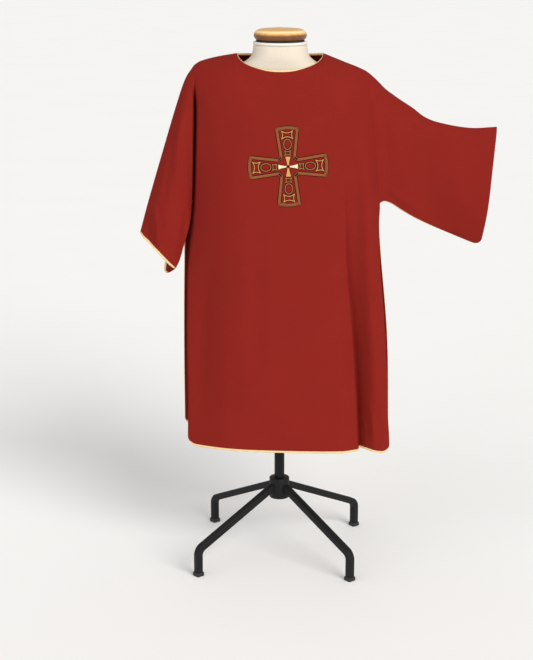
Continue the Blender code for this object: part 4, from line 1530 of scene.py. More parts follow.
@dataclass
class RaisedSleeve(Sleeve):
    """The sleeve that is held out to the side."""

    cuff_points: tuple[SleevePoint, ...] = (
        SleevePoint(0.6220, 0.006, 1.294),
        SleevePoint(0.6110, 0.006, 1.180),
        SleevePoint(0.6000, 0.006, 1.050),
        SleevePoint(0.5840, 0.006, 0.948),
    )
    lower_points: tuple[SleevePoint, ...] = (
        SleevePoint(0.2840, 0.000, 1.088),
        SleevePoint(0.3000, 0.000, 1.091),
        SleevePoint(0.3200, 0.001, 1.083),
        SleevePoint(0.3490, 0.002, 1.063),
        SleevePoint(0.3930, 0.003, 1.035),
        SleevePoint(0.4660, 0.005, 0.998),
        SleevePoint(0.5840, 0.006, 0.948),
    )
    front_depth: float = 0.030
    back_depth: float = 0.026
    edge_depth: float = 0.009
    open_share: float = 0.8

    def cuff(self, low: Array, side: int) -> Array:
        """Points of the cuff.

        Args:
            low: From the top fold at 0 to the lower edge at 1.
            side: -1 for the front and 1 for the back.

        Returns:
            The points.
        """
        points = SmoothPath(self.cuff_points).at(low)
        depth = self.front_depth if side < 0 else self.back_depth
        points[..., 1] += side * flattened(low, depth, self.edge_depth)
        return points

    def lower_edge(self, out: Array, side: int, start: Array) -> Array:
        """Points of the lower edge.

        Args:
            out: From the armpit at 0 to the cuff at 1.
            side: -1 for the front and 1 for the back.
            start: The point at the armpit.

        Returns:
            The points.
        """
        points = SmoothPath([tuple(start), *self.lower_points[1:]]).at(out)
        middle = SmoothPath(self.lower_points).at(out)[..., 1]
        open_depth = eased(out / self.open_share)
        points[..., 1] = middle + between(start[1], side * self.edge_depth, open_depth)
        return points


@dataclass
class HangingSleeve(Sleeve):
    """The sleeve that hangs, with its cuff lifted at the back."""

    front_edge: tuple[SleevePoint, ...] = (
        SleevePoint(-0.2520, -0.070, 1.088),
        SleevePoint(-0.2590, -0.088, 1.026),
        SleevePoint(-0.2750, -0.098, 0.967),
        SleevePoint(-0.3000, -0.104, 0.896),
    )
    back_edge: tuple[SleevePoint, ...] = (
        SleevePoint(-0.2520, 0.066, 1.088),
        SleevePoint(-0.2630, 0.078, 1.020),
        SleevePoint(-0.2830, 0.074, 0.940),
        SleevePoint(-0.3080, 0.062, 0.868),
        SleevePoint(-0.3430, 0.056, 0.848),
    )
    back_cuff: tuple[SleevePoint, ...] = (
        SleevePoint(-0.4030, -0.040, 0.999),
        SleevePoint(-0.3890, 0.016, 0.980),
        SleevePoint(-0.3600, 0.068, 0.944),
        SleevePoint(-0.3340, 0.068, 0.904),
        SleevePoint(-0.3430, 0.056, 0.848),
    )
    front_swell: float = 0.034
    cuff_lift: float = 0.20
    front_corner: float = 0.005
    back_corner: float = 0.016

    def edge(self, side: int) -> tuple[SleevePoint, ...]:
        """The free edge of the front or of the back."""
        return self.front_edge if side < 0 else self.back_edge

    def cuff(self, low: Array, side: int) -> Array:
        """Points of the cuff.

        Args:
            low: From the top fold at 0 to the lower edge at 1.
            side: -1 for the front and 1 for the back.

        Returns:
            The points.
        """
        if side > 0:
            return SmoothPath(self.back_cuff).at(low)
        first, last = np.array(self.top[-1]), np.array(self.front_edge[-1])
        points = between(first, last, low[..., None])
        out = self.front_swell * swelled(low)
        points[..., 1] -= out
        points[..., 2] += out * self.cuff_lift
        return points

    def corner(self, side: int) -> float:
        """The radius of the cuff's corner."""
        return self.front_corner if side < 0 else self.back_corner

    def lower_edge(self, out: Array, side: int, start: Array) -> Array:
        """Points of the lower edge."""
        return SmoothPath([tuple(start), *self.edge(side)[1:]]).at(out)

    def without_crease(self, seam: Array, side: int) -> Array:
        """The seam as it would run with no crease beside it."""
        smooth = seam.copy()
        smooth[:, 1] += side * self.cut.sleeve_crease(np.zeros(len(seam)), seam[:, 2])
        return smooth

    def add_crease(self, grid: Array) -> Array:
        """The points taken in beside the seam, as the panels are.

        Args:
            grid: The sleeve's points.

        Returns:
            The moved points.
        """
        middle = grid.shape[1] // 2
        sides = np.sign(np.arange(grid.shape[1]) - middle)
        away = np.linalg.norm(grid - grid[:1], axis=-1)
        seam_heights = np.broadcast_to(grid[:1, :, 2], away.shape)
        moved = grid.copy()
        moved[..., 1] -= sides * self.cut.sleeve_crease(away, seam_heights)
        return moved


OUTLINE = (
    (-0.4030, 0.999),
    (-0.3800, 1.082),
    (-0.3310, 1.245),
    (-0.2920, 1.371),
    (-0.2690, 1.434),
    (-0.2450, 1.470),
    (-0.1850, 1.493),
    (-0.1215, 1.504),
    (0.1215, 1.504),
    (0.1840, 1.479),
    (0.2400, 1.455),
    (0.3010, 1.402),
    (0.3400, 1.374),
    (0.4150, 1.322),
    (0.4580, 1.306),
    (0.5450, 1.291),
    (0.6220, 1.294),
)

FRONT_DRAPE = Drape(
    side=-1,
    outline=OUTLINE,
    fade=0.045,
    creases=(
        # The body: a soft break down the middle, the turn to the left edge, drag from the arm
        Crease(((-0.070, 1.020), (-0.066, 0.800), (-0.080, 0.560)), -0.0042, 0.050),
        Crease(((-0.262, 1.300), (-0.258, 0.800), (-0.268, 0.250)), -0.0260, 0.190, fade=0.4),
        Crease(
            ((0.226, 1.400), (0.250, 1.180), (0.264, 0.860), (0.276, 0.600), (0.284, 0.330)),
            0.0230, 0.060, fade=0.3,
        ),
        Crease(((-0.040, 0.900), (-0.028, 0.700), (-0.036, 0.372)), 0.0022, 0.060, fade=0.5),
        Crease(((-0.200, 1.000), (-0.222, 0.700), (-0.238, 0.330)), -0.0065, 0.048, fade=0.4),
        Crease(((-0.150, 0.800), (-0.158, 0.600), (-0.166, 0.330)), 0.0036, 0.046, fade=0.5),
        Crease(((0.060, 0.700), (0.064, 0.520), (0.070, 0.330)), -0.0030, 0.055, fade=0.5),
        Crease(((0.262, 1.330), (0.272, 1.200), (0.284, 1.080)), -0.0040, 0.034),
        Crease(((0.225, 1.445), (0.246, 1.330), (0.262, 1.210)), -0.0022, 0.030),
        Crease(((-0.235, 1.440), (-0.190, 1.330), (-0.168, 1.180)), 0.0022, 0.040),
        Crease(((0.262, 0.520), (0.272, 0.430), (0.276, 0.340)), 0.0050, 0.018, fade=0.5),
        Crease(((0.300, 0.640), (0.304, 0.500), (0.308, 0.340)), 0.0035, 0.020, fade=0.4),
        Crease(((-0.105, 1.485), (-0.085, 1.400), (-0.040, 1.330)), -0.0016, 0.034),
        Crease(((0.112, 1.480), (0.120, 1.400), (0.100, 1.320)), -0.0014, 0.030),
        # The raised sleeve
        Crease(((0.364, 1.368), (0.390, 1.330), (0.420, 1.284)), 0.0115, 0.020, skew=-0.6),
        Crease(((0.426, 1.322), (0.455, 1.304), (0.490, 1.270)), 0.0120, 0.019, skew=-0.6),
        Crease(((0.300, 1.380), (0.340, 1.240), (0.352, 1.090)), 0.0040, 0.042),
        Crease(((0.375, 1.320), (0.420, 1.190), (0.442, 1.040)), -0.0030, 0.045),
        Crease(((0.480, 1.260), (0.512, 1.130), (0.520, 1.000)), 0.0028, 0.050),
        Crease(((0.290, 1.140), (0.340, 1.100), (0.430, 1.040)), 0.0030, 0.018),
        # The hanging sleeve
        Crease(((-0.364, 1.092), (-0.352, 1.040), (-0.342, 0.950)), 0.0120, 0.022, skew=-0.50),
        Crease(((-0.400, 1.060), (-0.392, 1.010), (-0.382, 0.950)), 0.0110, 0.018, skew=-0.35),
        Crease(((-0.276, 1.400), (-0.288, 1.260), (-0.300, 1.110)), 0.0040, 0.018),
        Crease(((-0.300, 1.300), (-0.318, 1.180), (-0.336, 1.060)), -0.0030, 0.016),
        Crease(((-0.268, 1.110), (-0.290, 1.010), (-0.310, 0.900)), 0.0034, 0.016, fade=0.4),
    ),
)

BACK_DRAPE = Drape(
    side=1,
    outline=OUTLINE,
    fade=0.045,
    creases=(
        Crease(((-0.140, 1.440), (-0.130, 1.200), (-0.118, 0.900)), 0.0036, 0.045),
        Crease(((-0.010, 1.300), (0.006, 1.000), (0.010, 0.600)), -0.0040, 0.055),
        Crease(((0.160, 1.400), (0.150, 1.150), (0.168, 0.860)), 0.0032, 0.040),
        Crease(((0.235, 1.420), (0.215, 1.260), (0.205, 1.110)), 0.0044, 0.028),
        Crease(((0.262, 1.330), (0.272, 1.200), (0.284, 1.080)), -0.0048, 0.024),
        Crease(((-0.225, 1.420), (-0.200, 1.280), (-0.205, 1.120)), 0.0036, 0.030),
        Crease(((-0.060, 0.820), (-0.052, 0.600), (-0.058, 0.330)), 0.0050, 0.050, fade=0.5),
        Crease(((0.070, 0.760), (0.062, 0.580), (0.066, 0.330)), -0.0046, 0.048, fade=0.5),
        Crease(((0.255, 0.900), (0.262, 0.640), (0.270, 0.330)), 0.0056, 0.036, fade=0.4),
        Crease(((-0.232, 0.860), (-0.240, 0.600), (-0.246, 0.330)), -0.0052, 0.034, fade=0.4),
        # The raised sleeve
        Crease(((0.300, 1.385), (0.338, 1.230), (0.356, 1.090)), 0.0044, 0.038),
        Crease(((0.390, 1.330), (0.424, 1.200), (0.440, 1.060)), -0.0034, 0.042),
        Crease(((0.470, 1.280), (0.506, 1.150), (0.520, 1.010)), 0.0032, 0.044),
        Crease(((0.372, 1.350), (0.402, 1.316), (0.430, 1.276)), 0.0040, 0.012),
        Crease(((0.290, 1.140), (0.350, 1.095), (0.440, 1.035)), -0.0026, 0.018),
        # The hanging sleeve
        Crease(((-0.278, 1.390), (-0.292, 1.240), (-0.300, 1.080)), 0.0044, 0.018),
        Crease(((-0.310, 1.280), (-0.326, 1.150), (-0.338, 1.000)), -0.0036, 0.017),
        Crease(((-0.352, 1.120), (-0.352, 1.020), (-0.346, 0.920)), 0.0040, 0.013),
        Crease(((-0.276, 1.090), (-0.296, 0.990), (-0.316, 0.870)), 0.0034, 0.015, fade=0.4),
    ),
)


PIPED = {
    "front": "front_edge",
    "back": "back_edge",
    "raised": "raised_sleeve",
    "hanging": "hanging_sleeve",
}


class Seat(NamedTuple):
    """Where piping lies beside a rim: below the cloth's outer face, and out from the rim."""

    level: float
    reach: float


EDGED = Seat(0.0009, 0.0022)
NECK_SEAT = Seat(0.0024, 0.0004)
THIN_LINE = Seat(0.0048, -0.0022)
SLIVER = Seat(0.0042, -0.0008)
HIDDEN = Seat(0.0056, -0.0036)
OUTSIDE = Seat(-0.0026, -0.0036)


class Sheet(NamedTuple):
    """What a piece of cloth stands for, how large it was cut and what belongs with it."""

    key: str
    node: str
    flat: tuple[float, float]
    area: float
    rests_on: str
    cords: tuple[str, ...]


@dataclass
class Garment:
    """The dalmatic: its panels, its sleeves and their piping."""

    room: Workroom
    cut: Cut = field(default_factory=Cut)
    piping_radius: float = 0.0033
    piping_step: float = 0.0030
    piping_gap: float = 0.0050
    hanging_piping_gap: float = 0.0200
    turn_in_width: float = 0.010
    left_turn_in: float = math.radians(48.0)
    right_turn_in: float = math.radians(60.0)
    turn_in_fade: float = 0.070
    seat_fade: float = 0.060
    drapes: Mapping[int, Drape] = field(default_factory=lambda: {-1: FRONT_DRAPE, 1: BACK_DRAPE})

    def panels(self) -> tuple[Panel, Panel]:
        """The front and the back, before they are draped."""
        front = Panel(
            name="front",
            side=-1,
            cut=self.cut,
            arch=3.0,
            neck_reach=0.115,
            neck_drop=0.040,
            neck_columns=60,
            folds=(Fold(0.822, 0.853, 1.150, 0.050, 0.055, 0.078, 0.008),),
            sections=(
                Section(0.372, -0.271, -0.095, -0.167, 0.321, -0.135),
                Section(0.500, -0.272, -0.092, -0.163, 0.318, -0.122),
                Section(0.650, -0.274, -0.088, -0.158, 0.312, -0.110),
                Section(0.765, -0.273, -0.084, -0.154, 0.304, -0.100),
                Section(0.920, -0.268, -0.078, -0.150, 0.290, -0.088),
                Section(1.088, -0.252, -0.070, -0.145, 0.284, -0.072),
                Section(1.240, -0.245, -0.070, -0.139, 0.268, -0.072),
                Section(1.380, -0.242, -0.062, -0.128, 0.252, -0.062),
                Section(1.470, -0.245, -0.045, -0.118, 0.240, -0.045),
            ),
        )
        back = Panel(
            name="back",
            side=1,
            cut=self.cut,
            arch=2.6,
            neck_reach=0.092,
            neck_drop=0.010,
            neck_columns=60,
            folds=(
                Fold(0.330, 0.270, 1.200, 0.034, 0.060, 0.040),
                Fold(0.640, 0.700, 1.150, 0.028, 0.038, 0.062),
            ),
            sections=(
                Section(0.372, -0.288, 0.100, 0.165, 0.334, 0.105),
                Section(0.650, -0.287, 0.090, 0.150, 0.325, 0.095),
                Section(0.920, -0.281, 0.078, 0.140, 0.299, 0.082),
                Section(1.010, -0.273, 0.072, 0.137, 0.291, 0.075),
                Section(1.088, -0.252, 0.066, 0.136, 0.284, 0.068),
                Section(1.240, -0.245, 0.066, 0.140, 0.268, 0.068),
                Section(1.380, -0.242, 0.058, 0.128, 0.252, 0.058),
                Section(1.470, -0.245, 0.042, 0.100, 0.240, 0.042),
            ),
        )
        return front, back

    def sleeves(self) -> tuple[Sleeve, Sleeve]:
        """The raised sleeve and the hanging one, before they are draped."""
        raised = RaisedSleeve(
            name="raised_sleeve_cloth",
            cut=self.cut,
            stations=(0.0, 0.008, 0.018, 0.035, 0.06, 1.0),
            station_step=0.016,
            top=(
                SleevePoint(0.2400, 0.000, 1.455),
                SleevePoint(0.2560, 0.000, 1.445),
                SleevePoint(0.2730, 0.001, 1.430),
                SleevePoint(0.3000, 0.002, 1.403),
                SleevePoint(0.3190, 0.002, 1.389),
                SleevePoint(0.3400, 0.003, 1.374),
                SleevePoint(0.3800, 0.004, 1.348),
                SleevePoint(0.4150, 0.005, 1.322),
                SleevePoint(0.4580, 0.005, 1.306),
                SleevePoint(0.5450, 0.006, 1.291),
                SleevePoint(0.6220, 0.006, 1.294),
            ),
        )
        hanging = HangingSleeve(
            name="hanging_sleeve_cloth",
            cut=self.cut,
            stations=(0.0, 0.01, 0.02, 0.03, 0.04, 0.055, 0.07, 0.09, 1.0),
            station_step=0.022,
            top=(
                SleevePoint(-0.2450, 0.000, 1.470),
                SleevePoint(-0.2690, -0.006, 1.434),
                SleevePoint(-0.2920, -0.014, 1.371),
                SleevePoint(-0.3310, -0.026, 1.245),
                SleevePoint(-0.3800, -0.037, 1.082),
                SleevePoint(-0.4030, -0.040, 0.999),
            ),
        )
        return raised, hanging

    def draped(self, sleeve: Array) -> Array:
        """A sleeve's points with the creases of the front and of the back.

        Args:
            sleeve: The sleeve's points.

        Returns:
            The moved points.
        """
        middle = sleeve.shape[1] // 2
        front = self.drapes[-1].hang(sleeve[:, :middle])
        back = self.drapes[1].hang(sleeve[:, middle + 1 :])
        return np.concatenate([front, sleeve[:, middle : middle + 1], back], axis=1)

    def cloth(self) -> dict[str, ClothPiece]:
        """The four pieces of cloth, with the normals shared along the seams between them.

        Returns:
            The pieces, by the names that the piping knows them by.
        """
        front, back = self.panels()
        raised, hanging = self.sleeves()
        front_grid, back_grid = front.grid(), back.grid()
        seam = slice(0, self.cut.rows_to_armpit + 1)
        raised_grid = raised.grid(front_grid[seam, -1], back_grid[seam, -1])
        hanging_grid = hanging.grid(front_grid[seam, 0], back_grid[seam, 0])
        pieces = {
            "front": ClothPiece.cut("front_cloth", self.drapes[-1].hang(front_grid), 1),
            "back": ClothPiece.cut("back_cloth", self.drapes[1].hang(back_grid), -1),
            "raised": ClothPiece.cut("raised_sleeve_cloth", self.draped(raised_grid), 1),
            "hanging": ClothPiece.cut("hanging_sleeve_cloth", self.draped(hanging_grid), -1),
        }
        heights = pieces["front"].grid[:, 0, 2]
        below = eased((self.cut.armpit_height - heights) / self.turn_in_fade)
        above = eased((heights - self.cut.hem_height) / (2.0 * self.turn_in_fade))
        for column, angle in ((0, self.left_turn_in), (-1, self.right_turn_in)):
            pieces["front"].turn_in(column, self.turn_in_width, angle * below * above)
        self.share_seams(pieces)
        return pieces

    def share_seams(self, pieces: Mapping[str, ClothPiece]) -> None:
        """Make the walls that meet at the shoulders and armholes end face to face.

        Args:
            pieces: The pieces of cloth.
        """
        front, back = pieces["front"].normals, pieces["back"].normals
        down = slice(1, self.cut.rows_to_armpit + 1)
        for name, edge in (("raised", -1), ("hanging", 0)):
            sleeve = pieces[name].normals
            middle = sleeve.shape[1] // 2
            front_part = sleeve[0, :middle][::-1]
            back_part = sleeve[0, middle + 1 :]
            share_normals((front[:, edge], down), (front_part, slice(None)))
            share_normals((back[:, edge], down), (back_part, slice(None)))
            share_normals((front[:, edge], 0), (back[:, edge], 0), (sleeve[0], middle))
        x_front, x_back = pieces["front"].grid[0, :, 0], pieces["back"].grid[0, :, 0]
        for j in range(1, len(x_front) - 1):
            if abs(x_front[j]) > self.cut.neck_half_width - ON_NECKLINE:
                facing = int(np.argmin(np.abs(x_back - x_front[j])))
                share_normals((front[0], j), (back[0], facing))

    def rim(self, piece: ClothPiece, rows: Array, columns: Array, seats: Array) -> Array:
        """A line along a piece's rim.

        Args:
            piece: The piece.
            rows: The rows of the rim's points, in order.
            columns: Their columns.
            seats: The level and the reach of the line at each point.

        Returns:
            The line's points.
        """
        edge = piece.grid[rows, columns]
        normals = piece.normals[rows, columns]
        out = unit(np.cross(np.gradient(edge, axis=0), normals))
        last_row, last_column = piece.grid.shape[0] - 1, piece.grid.shape[1] - 1
        inside = piece.grid[np.clip(rows, 1, last_row - 1), np.clip(columns, 1, last_column - 1)]
        facing = np.sign(np.einsum("ij,ij->i", out, edge - inside))
        facing = np.where(facing == 0, 1.0, facing)
        return edge - normals * seats[:, :1] + out * facing[:, None] * seats[:, 1:]

    def cord(
        self, name: str, run: Array, closed: bool = False, gap: float = 0.0
    ) -> bpy.types.Object:
        """Sew on one run of piping.

        Args:
            name: The piece's name, with the node's name before its last word.
            run: The points that it follows.
            closed: Whether it is a ring.
            gap: What is left off each end.

        Returns:
            The new object.
        """
        path = SmoothPath(run)
        trim = gap / path.length
        line = path.at(np.linspace(trim, 1.0 - trim, int(path.length / self.piping_step) + 1))
        line = smoothed(line[:-1] if closed else line, 3, closed)
        points, faces, values = Tube(line, self.piping_radius, closed).mesh()
        made = self.room.piece(name, points, faces, Slot.GOLD_PIPING, {THREAD_PLACE: values})
        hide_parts(name.removesuffix("_cord"))
        return made

    def around(self, piece: ClothPiece, first_row: int) -> tuple[Array, Array]:
        """Rows and columns down a piece's first column, along its last row and back up.

        Args:
            piece: The piece.
            first_row: The row that it starts and ends at.

        Returns:
            The rows and the columns, in order.
        """
        rows, columns = piece.grid.shape[:2]
        down = np.arange(first_row, rows - 1)
        along = np.arange(columns)
        row = np.concatenate([down, np.full(columns, rows - 1), down[::-1]])
        column = np.concatenate([np.zeros(len(down), int), along, np.full(len(down), columns - 1)])
        return row, column

    def seats(
        self, piece: ClothPiece, rows: Array, columns: Array, kinds: tuple[Seat, Seat, Seat]
    ) -> Array:
        """Where the piping lies beside each point of a rim.

        Args:
            piece: The piece.
            rows: The rows of the rim's points, in order.
            columns: Their columns.
            kinds: How it lies on the way out, along the last row and on the way back.

        Returns:
            The level and the reach at each point, passing smoothly from one run to the next.
        """
        way = running_length(piece.grid[rows, columns], 0)
        last = np.flatnonzero(rows == piece.grid.shape[0] - 1)
        half = self.seat_fade / 2.0
        first, middle, end = (np.array(kind) for kind in kinds)
        into = eased((way - way[last[0]] + half) / self.seat_fade)[:, None]
        out_of = eased((way - way[last[-1]] + half) / self.seat_fade)[:, None]
        return between(first, middle, into) + between(middle, end, out_of) - middle

    def neckline(self, piece: ClothPiece) -> Array:
        """The line of the piping along one panel's neckline.

        Args:
            piece: The front or the back.

        Returns:
            The line's points.
        """
        x = piece.grid[0, :, 0]
        columns = np.flatnonzero(np.abs(x) < self.cut.neck_half_width + ON_NECKLINE)
        seats = np.broadcast_to(np.array(NECK_SEAT), (len(columns), 2))
        return self.rim(piece, np.zeros(len(columns), int), columns, seats)

    def sew_piping(self, pieces: Mapping[str, ClothPiece]) -> dict[str, bpy.types.Object]:
        """Sew the piping round every free edge.

        Args:
            pieces: The pieces of cloth.

        Returns:
            The cords, by the piece that each is sewn to.
        """
        last = self.cut.rows_to_armpit
        runs = (
            ("front", last, self.piping_gap, (HIDDEN, EDGED, THIN_LINE)),
            ("back", last, self.piping_gap, (OUTSIDE, EDGED, OUTSIDE)),
            ("raised", 0, self.piping_gap, (SLIVER, HIDDEN, THIN_LINE)),
            ("hanging", 0, self.hanging_piping_gap, (HIDDEN, EDGED, OUTSIDE)),
        )
        cords = {}
        for key, first_row, gap, kinds in runs:
            rows, columns = self.around(pieces[key], first_row)
            seats = self.seats(pieces[key], rows, columns, kinds)
            run = self.rim(pieces[key], rows, columns, seats)
            cords[key] = self.cord(f"{PIPED[key]}_piping_cord", run, gap=gap)
        front, back = self.neckline(pieces["front"]), self.neckline(pieces["back"])
        ring = np.concatenate([front[:-1], back[::-1][:-1]])
        ring = np.concatenate([ring, ring[:1]])
        cords["neck"] = self.cord("neck_piping_cord", ring, closed=True)
        return cords

    def build(self) -> dict[str, ClothPiece]:
        """Make the cloth and its piping.

        Returns:
            The pieces of cloth.
        """
        pieces = self.cloth()
        cords = self.sew_piping(pieces)
        sheets = (
            Sheet("front", "front_panel", (0.66, 1.16), 0.700, "torso", ("front", "neck")),
            Sheet("back", "back_panel", (0.66, 1.16), 0.703, "torso", ("back",)),
            Sheet("raised", "raised_sleeve", (0.76, 0.34), 0.235, "front_cloth", ("raised",)),
            Sheet("hanging", "hanging_sleeve", (0.80, 0.24), 0.160, "front_cloth", ("hanging",)),
        )
        for sheet in sheets:
            piece = pieces[sheet.key]
            points, faces, place = piece.wall(self.cut.thickness)
            made = self.room.piece(
                piece.name, points, faces.tolist(), Slot.RED_CLOTH, {CLOTH_PLACE: place}
            )
            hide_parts(sheet.node)
        return pieces


# The embroidered cross

# As with the slots, each thread's second colour is its painted highlight.
COPPER = SatinThread(
    "copper_stitches", (0.36, 0.096, 0.036), (0.50, 0.17, 0.065), (0.17, 0.040, 0.015), 0.0011, 0.0
)
DARK_GROUND = SatinThread(
    name="dark_ground",
    colour=(0.040, 0.007, 0.005),
    light_colour=(0.070, 0.014, 0.009),
    deep_colour=(0.020, 0.004, 0.003),
    stitch_pitch=0.0011,
    slant=0.0,
    roughness=0.8,
    metallic=0.0,
    specular=0.02,
)
BRIGHT_BRONZE = SatinThread(
    "bright_bronze_stitches",
    (0.68, 0.34, 0.100),
    (0.92, 0.62, 0.27),
    (0.34, 0.140, 0.036),
    0.0011,
    0.0,
)
PALE_GOLD = SatinThread(
    "pale_gold_stitches", (0.96, 0.86, 0.54), (1.0, 0.98, 0.84), (0.80, 0.58, 0.22), 0.0010, 0.0
)
DEEP_GOLD = SatinThread(
    "deep_gold_stitches", (0.76, 0.36, 0.07), (0.95, 0.68, 0.26), (0.50, 0.20, 0.03), 0.0010, 0.0
)


@dataclass(frozen=True)
class ChestCloth:
    """The front's outer face, for laying stitches on it."""

    tree: BVHTree
    centre: tuple[float, float] = (0.0215, 1.2010)
    turn: float = math.radians(2.0)

    @classmethod
    def of(cls, piece: ClothPiece) -> "ChestCloth":
        """The cloth of the front piece.

        Args:
            piece: The front.

        Returns:
            Its outer face, for laying things on.
        """
        rows, columns = piece.grid.shape[:2]
        faces = grid_faces(rows, columns, False, piece.turned_over)
        points = piece.grid.reshape(-1, 3)
        return cls(BVHTree.FromPolygons(points.tolist(), faces.tolist()))

    def laid(self, flat: Array, lift: Array) -> Array:
        """Lay flat points on the cloth.

        Args:
            flat: Distances to the right of the cross's middle and up from it.
            lift: How far above the cloth each point is.

        Returns:
            The points.
        """
        c, s = math.cos(self.turn), math.sin(self.turn)
        placed = []
        for (right, up), high in zip(flat, lift):
            x = self.centre[0] + c * right - s * up
            z = self.centre[1] + s * right + c * up
            found, normal, _, _ = self.tree.ray_cast(Vector((x, -1.0, z)), Vector((0.0, 1.0, 0.0)))
            out = normal if normal.y < 0 else -normal
            placed.append(found + out * high)
        return np.array(placed)


def quarter_turned(flat: Array, quarter: int) -> Array:
    """Flat points of the arm to the right, turned to another arm."""
    for _ in range(quarter):
        flat = np.stack([-flat[:, 1], flat[:, 0]], axis=1)
    return flat


LEAST_STITCHES = 4


def evenly(flat: Array, step: float, closed: bool) -> Array:
    """Points at even steps along a run of straight pieces.

    Args:
        flat: The run's points.
        step: The step, in metres.
        closed: Whether the run comes back to its start.

    Returns:
        The new points. A closed run doesn't repeat its first one.
    """
    if closed:
        flat = np.concatenate([flat, flat[:1]])
    ways = running_length(flat, 0)
    count = max(LEAST_STITCHES, math.ceil(ways[-1] / step))
    at = np.linspace(0.0, ways[-1], count + 1)
    even = np.stack([np.interp(at, ways, flat[:, n]) for n in range(2)], axis=1)
    return even[:-1] if closed else even


# How narrow the painted shade along a stitched run's edges is.
EDGE_SHADE_SHARPNESS = 3
THIN_STEPS = 4


@dataclass(frozen=True)
class StitchedLine:
    """A raised run of stitches, round on top, along a line on the cloth."""

    flat: Array
    half_width: Union[float, Array]
    height: float
    closed: bool
    across_steps: int = 6
    lift: float = 0.0005

    def mesh(self, cloth: ChestCloth) -> tuple[Array, list[list[int]], Array]:
        """Build the run on the cloth.

        Args:
            cloth: What it lies on.

        Returns:
            Its points, its faces, and for each corner how far along it is, how far across,
            and how near to its edge.
        """
        flat = self.flat
        if self.closed:
            runs = np.roll(flat, -1, axis=0) - np.roll(flat, 1, axis=0)
        else:
            runs = np.gradient(flat, axis=0)
        runs = unit(runs)
        sides = np.stack([-runs[:, 1], runs[:, 0]], axis=1)
        across = np.linspace(-1.0, 1.0, self.across_steps + 1)
        rise = self.lift + self.height * np.sqrt(np.clip(1.0 - across**2, 0.0, 1.0))
        half = np.broadcast_to(self.half_width, len(flat))
        grid = flat[:, None, :] + sides[:, None, :] * (half[:, None] * across)[:, :, None]
        lifts = np.broadcast_to(rise, grid.shape[:2])
        rows, columns = grid.shape[:2]
        top = cloth.laid(grid.reshape(-1, 2), lifts.ravel())
        ways = running_length(flat, 0)
        faces, values = [], []
        for i in range(rows if self.closed else rows - 1):
            after = (i + 1) % rows
            far = ways[after] if after else ways[-1] + np.linalg.norm(flat[0] - flat[-1])
            here, there = i * columns, after * columns
            for j in range(columns - 1):
                faces.append([here + j, there + j, there + j + 1, here + j + 1])
                low, high = across[j], across[j + 1]
                for way, side in ((ways[i], low), (far, low), (far, high), (ways[i], high)):
                    values.append((way, side, abs(side) ** EDGE_SHADE_SHARPNESS))
        return top, faces, np.array(values)


